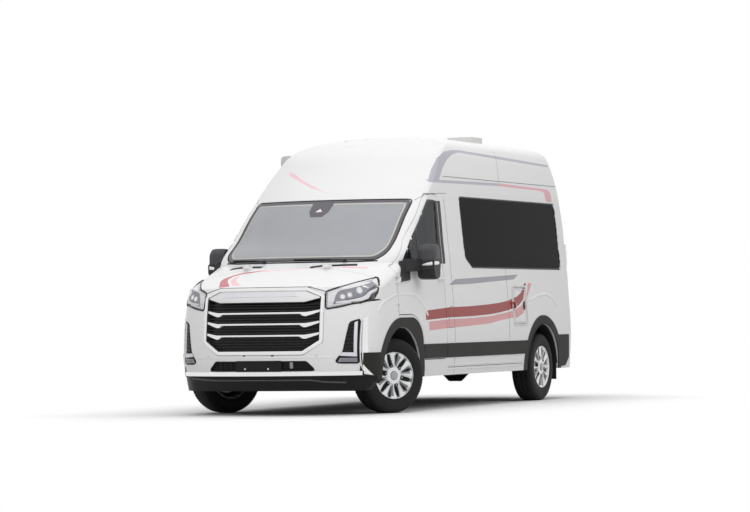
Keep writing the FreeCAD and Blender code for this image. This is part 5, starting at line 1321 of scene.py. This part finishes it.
def furniture_details():
    """Door fronts and handles of the kitchen unit, and the bench's cushions."""
    x0, y0, z0, z1 = 0.406, 1.415, 0.640, 1.330
    starts = [y0 + i * FRONT_PITCH for i in range(3)]
    fronts = [block((x0 - 0.012, y + 0.02, z0 + 0.06), (x0 + 0.002, y + FRONT_PITCH, z1 - 0.06), 0.005) for y in starts]
    build("kitchen_fronts", fronts, WOOD)
    handles = [sweep([(x0 - 0.024, y + 0.12, z1 - 0.10), (x0 - 0.024, y + 0.30, z1 - 0.10)], (-1, 0, 0), tube(0.006))
               for y in starts]
    handles += [block((x0 - 0.026, y + foot, z1 - 0.106), (x0 - 0.010, y + foot + 0.01, z1 - 0.094), 0.002, 2)
                for y in starts for foot in (0.14, 0.27)]
    build("kitchen_handles", handles, CHROME)
    cushions = [block((-0.905, 0.885 + shift, 1.088), (-0.345, 1.415 + shift, 1.190), 0.035, 6)
                for shift in np.arange(3) * CUSHION_PITCH]
    made = build("bench_cushions", cushions, FABRIC, crease=60)


CURTAIN_FOLDS = 11
CURTAIN_FLAT = (1.05, 0.60)


def curtains():
    """Gathered cab curtains behind the door windows: folds are a sine of the place along the rail."""
    along, down = np.meshgrid(np.linspace(0, 1, 140), np.linspace(0, 1, 14))
    fold = 0.016 * np.sin(along * 2 * math.pi * CURTAIN_FOLDS) * (0.75 + 0.25 * down)
    y = -0.80 + along * 0.46
    z = 2.02 - down * CURTAIN_FLAT[1]
    x = np.interp(z, [1.42, 1.75, 2.02], [0.865, 0.845, 0.80]) + fold
    left = loft(np.concatenate([np.stack([x, y, z], -1), np.stack([x - 0.003, y, z], -1)[:, ::-1]], axis=1))
    for name, form in (("left", left), ("right", mirrored(left))):
        made = build("cab_curtain_" + name, [form], CURTAIN, crease=60)


grille()
lower_intake()
bumper_details()
headlamps()
corner_units()
screen_details()
side_windows()
side_details()
service_hatch()
door_mirrors()
roof_details()
rear_details()
wheels()
seats()
cabin()
furniture_details()
curtains()


def camera():
    """Camera, from its place, angles and focal length."""
    data = bpy.data.cameras.new("camera")
    piece = add_object("camera", data)
    data.sensor_width = CAMERA_SENSOR_MM
    data.lens = data.sensor_width * CAMERA_FOCAL_PX / IMAGE_WIDTH
    data.shift_x = -CAMERA_SHIFT_PX / IMAGE_WIDTH
    data.clip_end = 200.0
    right = np.array([math.cos(CAMERA_AZIMUTH), math.sin(CAMERA_AZIMUTH), 0.0])
    back = np.array([math.sin(CAMERA_AZIMUTH), -math.cos(CAMERA_AZIMUTH), 0.0])
    ahead = -back * math.cos(CAMERA_PITCH) + np.array([0.0, 0.0, math.sin(CAMERA_PITCH)])
    up = np.cross(right, ahead)
    turned_right = right * math.cos(CAMERA_ROLL) - up * math.sin(CAMERA_ROLL)
    turned_up = right * math.sin(CAMERA_ROLL) + up * math.cos(CAMERA_ROLL)
    placed = np.eye(4)
    placed[:3, :3] = np.stack([turned_right, turned_up, -ahead], axis=1)
    placed[:3, 3] = CAMERA_PLACE
    piece.matrix_world = Matrix(placed.tolist())
    bpy.context.scene.camera = piece


camera()


def show_white(tree, surface, white, output, share=1.0):
    """Camera, gloss and glass see plain white over the given share; every other ray meets the surface."""
    white.inputs["Color"].default_value = (1, 1, 1, 1)
    white.inputs["Strength"].default_value = 1.0
    path = tree.add("ShaderNodeLightPath")
    seen = tree.math("MAXIMUM", path.outputs["Is Camera Ray"], path.outputs["Is Glossy Ray"])
    seen = tree.math("MAXIMUM", seen, path.outputs["Is Transmission Ray"])
    mixer = tree.add("ShaderNodeMixShader")
    tree.feed(mixer.inputs[0], tree.math("MULTIPLY", seen, share))
    tree.feed(mixer.inputs[1], surface.outputs[0])
    tree.feed(mixer.inputs[2], white.outputs[0])
    tree.feed(output.inputs["Surface"], mixer.outputs[0])


# Soft lamps: name, place, power and width
LAMPS = (("top", (0, 0, 11), 300, 10.0), ("front", (2, -13, 8), 560, 8.0), ("side", (13, -2, 8), 430, 8.0))
WORLD_BASE = 0.12
WORLD_RISE = 0.64
FLOOR_COLOUR = (0.94, 0.94, 0.94)
FLOOR_BOUNCE = (0.55, 0.55, 0.55)


def studio():
    """Pale floor and world, with large soft lamps around the van."""
    size = 60.0
    mesh = bpy.data.meshes.new("floor")
    corners = [(-size, -size, 0), (size, -size, 0), (size, size, 0), (-size, size, 0)]
    mesh.from_pydata(corners, [], [(0, 1, 2, 3)])
    floor = add_object("floor", mesh)
    material, graph, shader, place = base_material("floor")
    bounced = graph.add("ShaderNodeLightPath").outputs["Is Diffuse Ray"]
    graph.feed(shader.inputs["Base Color"], graph.mix(bounced, FLOOR_COLOUR, FLOOR_BOUNCE))
    shader.inputs["Roughness"].default_value = 0.9
    shader.inputs["Specular IOR Level"].default_value = 0.0
    split = graph.split(place)
    beyond = [graph.math("MAXIMUM", graph.math("SUBTRACT", graph.math("ABSOLUTE", split[way]), reach), 0.0)
              for way, reach in (("X", 1.1), ("Y", 2.9))]
    far = graph.add("ShaderNodeMapRange", interpolation_type="SMOOTHSTEP")
    far.inputs["From Min"].default_value = 0.1
    far.inputs["From Max"].default_value = 1.8
    graph.feed(far.inputs["Value"], graph.math("ADD", *beyond))
    output = material.node_tree.nodes["Material Output"]
    show_white(graph, shader, graph.add("ShaderNodeEmission"), output, far.outputs[0])
    mesh.materials.append(material)
    world = bpy.data.worlds.new("studio")
    bpy.context.scene.world = world
    world.use_nodes = True
    background = world.node_tree.nodes["Background"]
    background.inputs["Color"].default_value = (1, 1, 1, 1)
    tree = Graph(world.node_tree)
    height = tree.split(tree.add("ShaderNodeTexCoord").outputs["Generated"])["Z"]
    rising = tree.math("MULTIPLY", tree.math("MAXIMUM", height, 0.0), WORLD_RISE)
    tree.feed(background.inputs["Strength"], tree.math("ADD", rising, WORLD_BASE))
    show_white(tree, background, tree.add("ShaderNodeBackground"), world.node_tree.nodes["World Output"])
    for name, place, energy, wide in LAMPS:
        data = bpy.data.lights.new(name, "AREA")
        data.energy = energy
        data.size = wide
        lamp = add_object(name, data)
        lamp.location = place
        lamp.rotation_euler = (Vector((0, 0, 1)) - Vector(place)).to_track_quat("-Z", "Y").to_euler()
        lamp.visible_glossy = False


studio()
bpy.context.scene.view_settings.view_transform = "Standard"
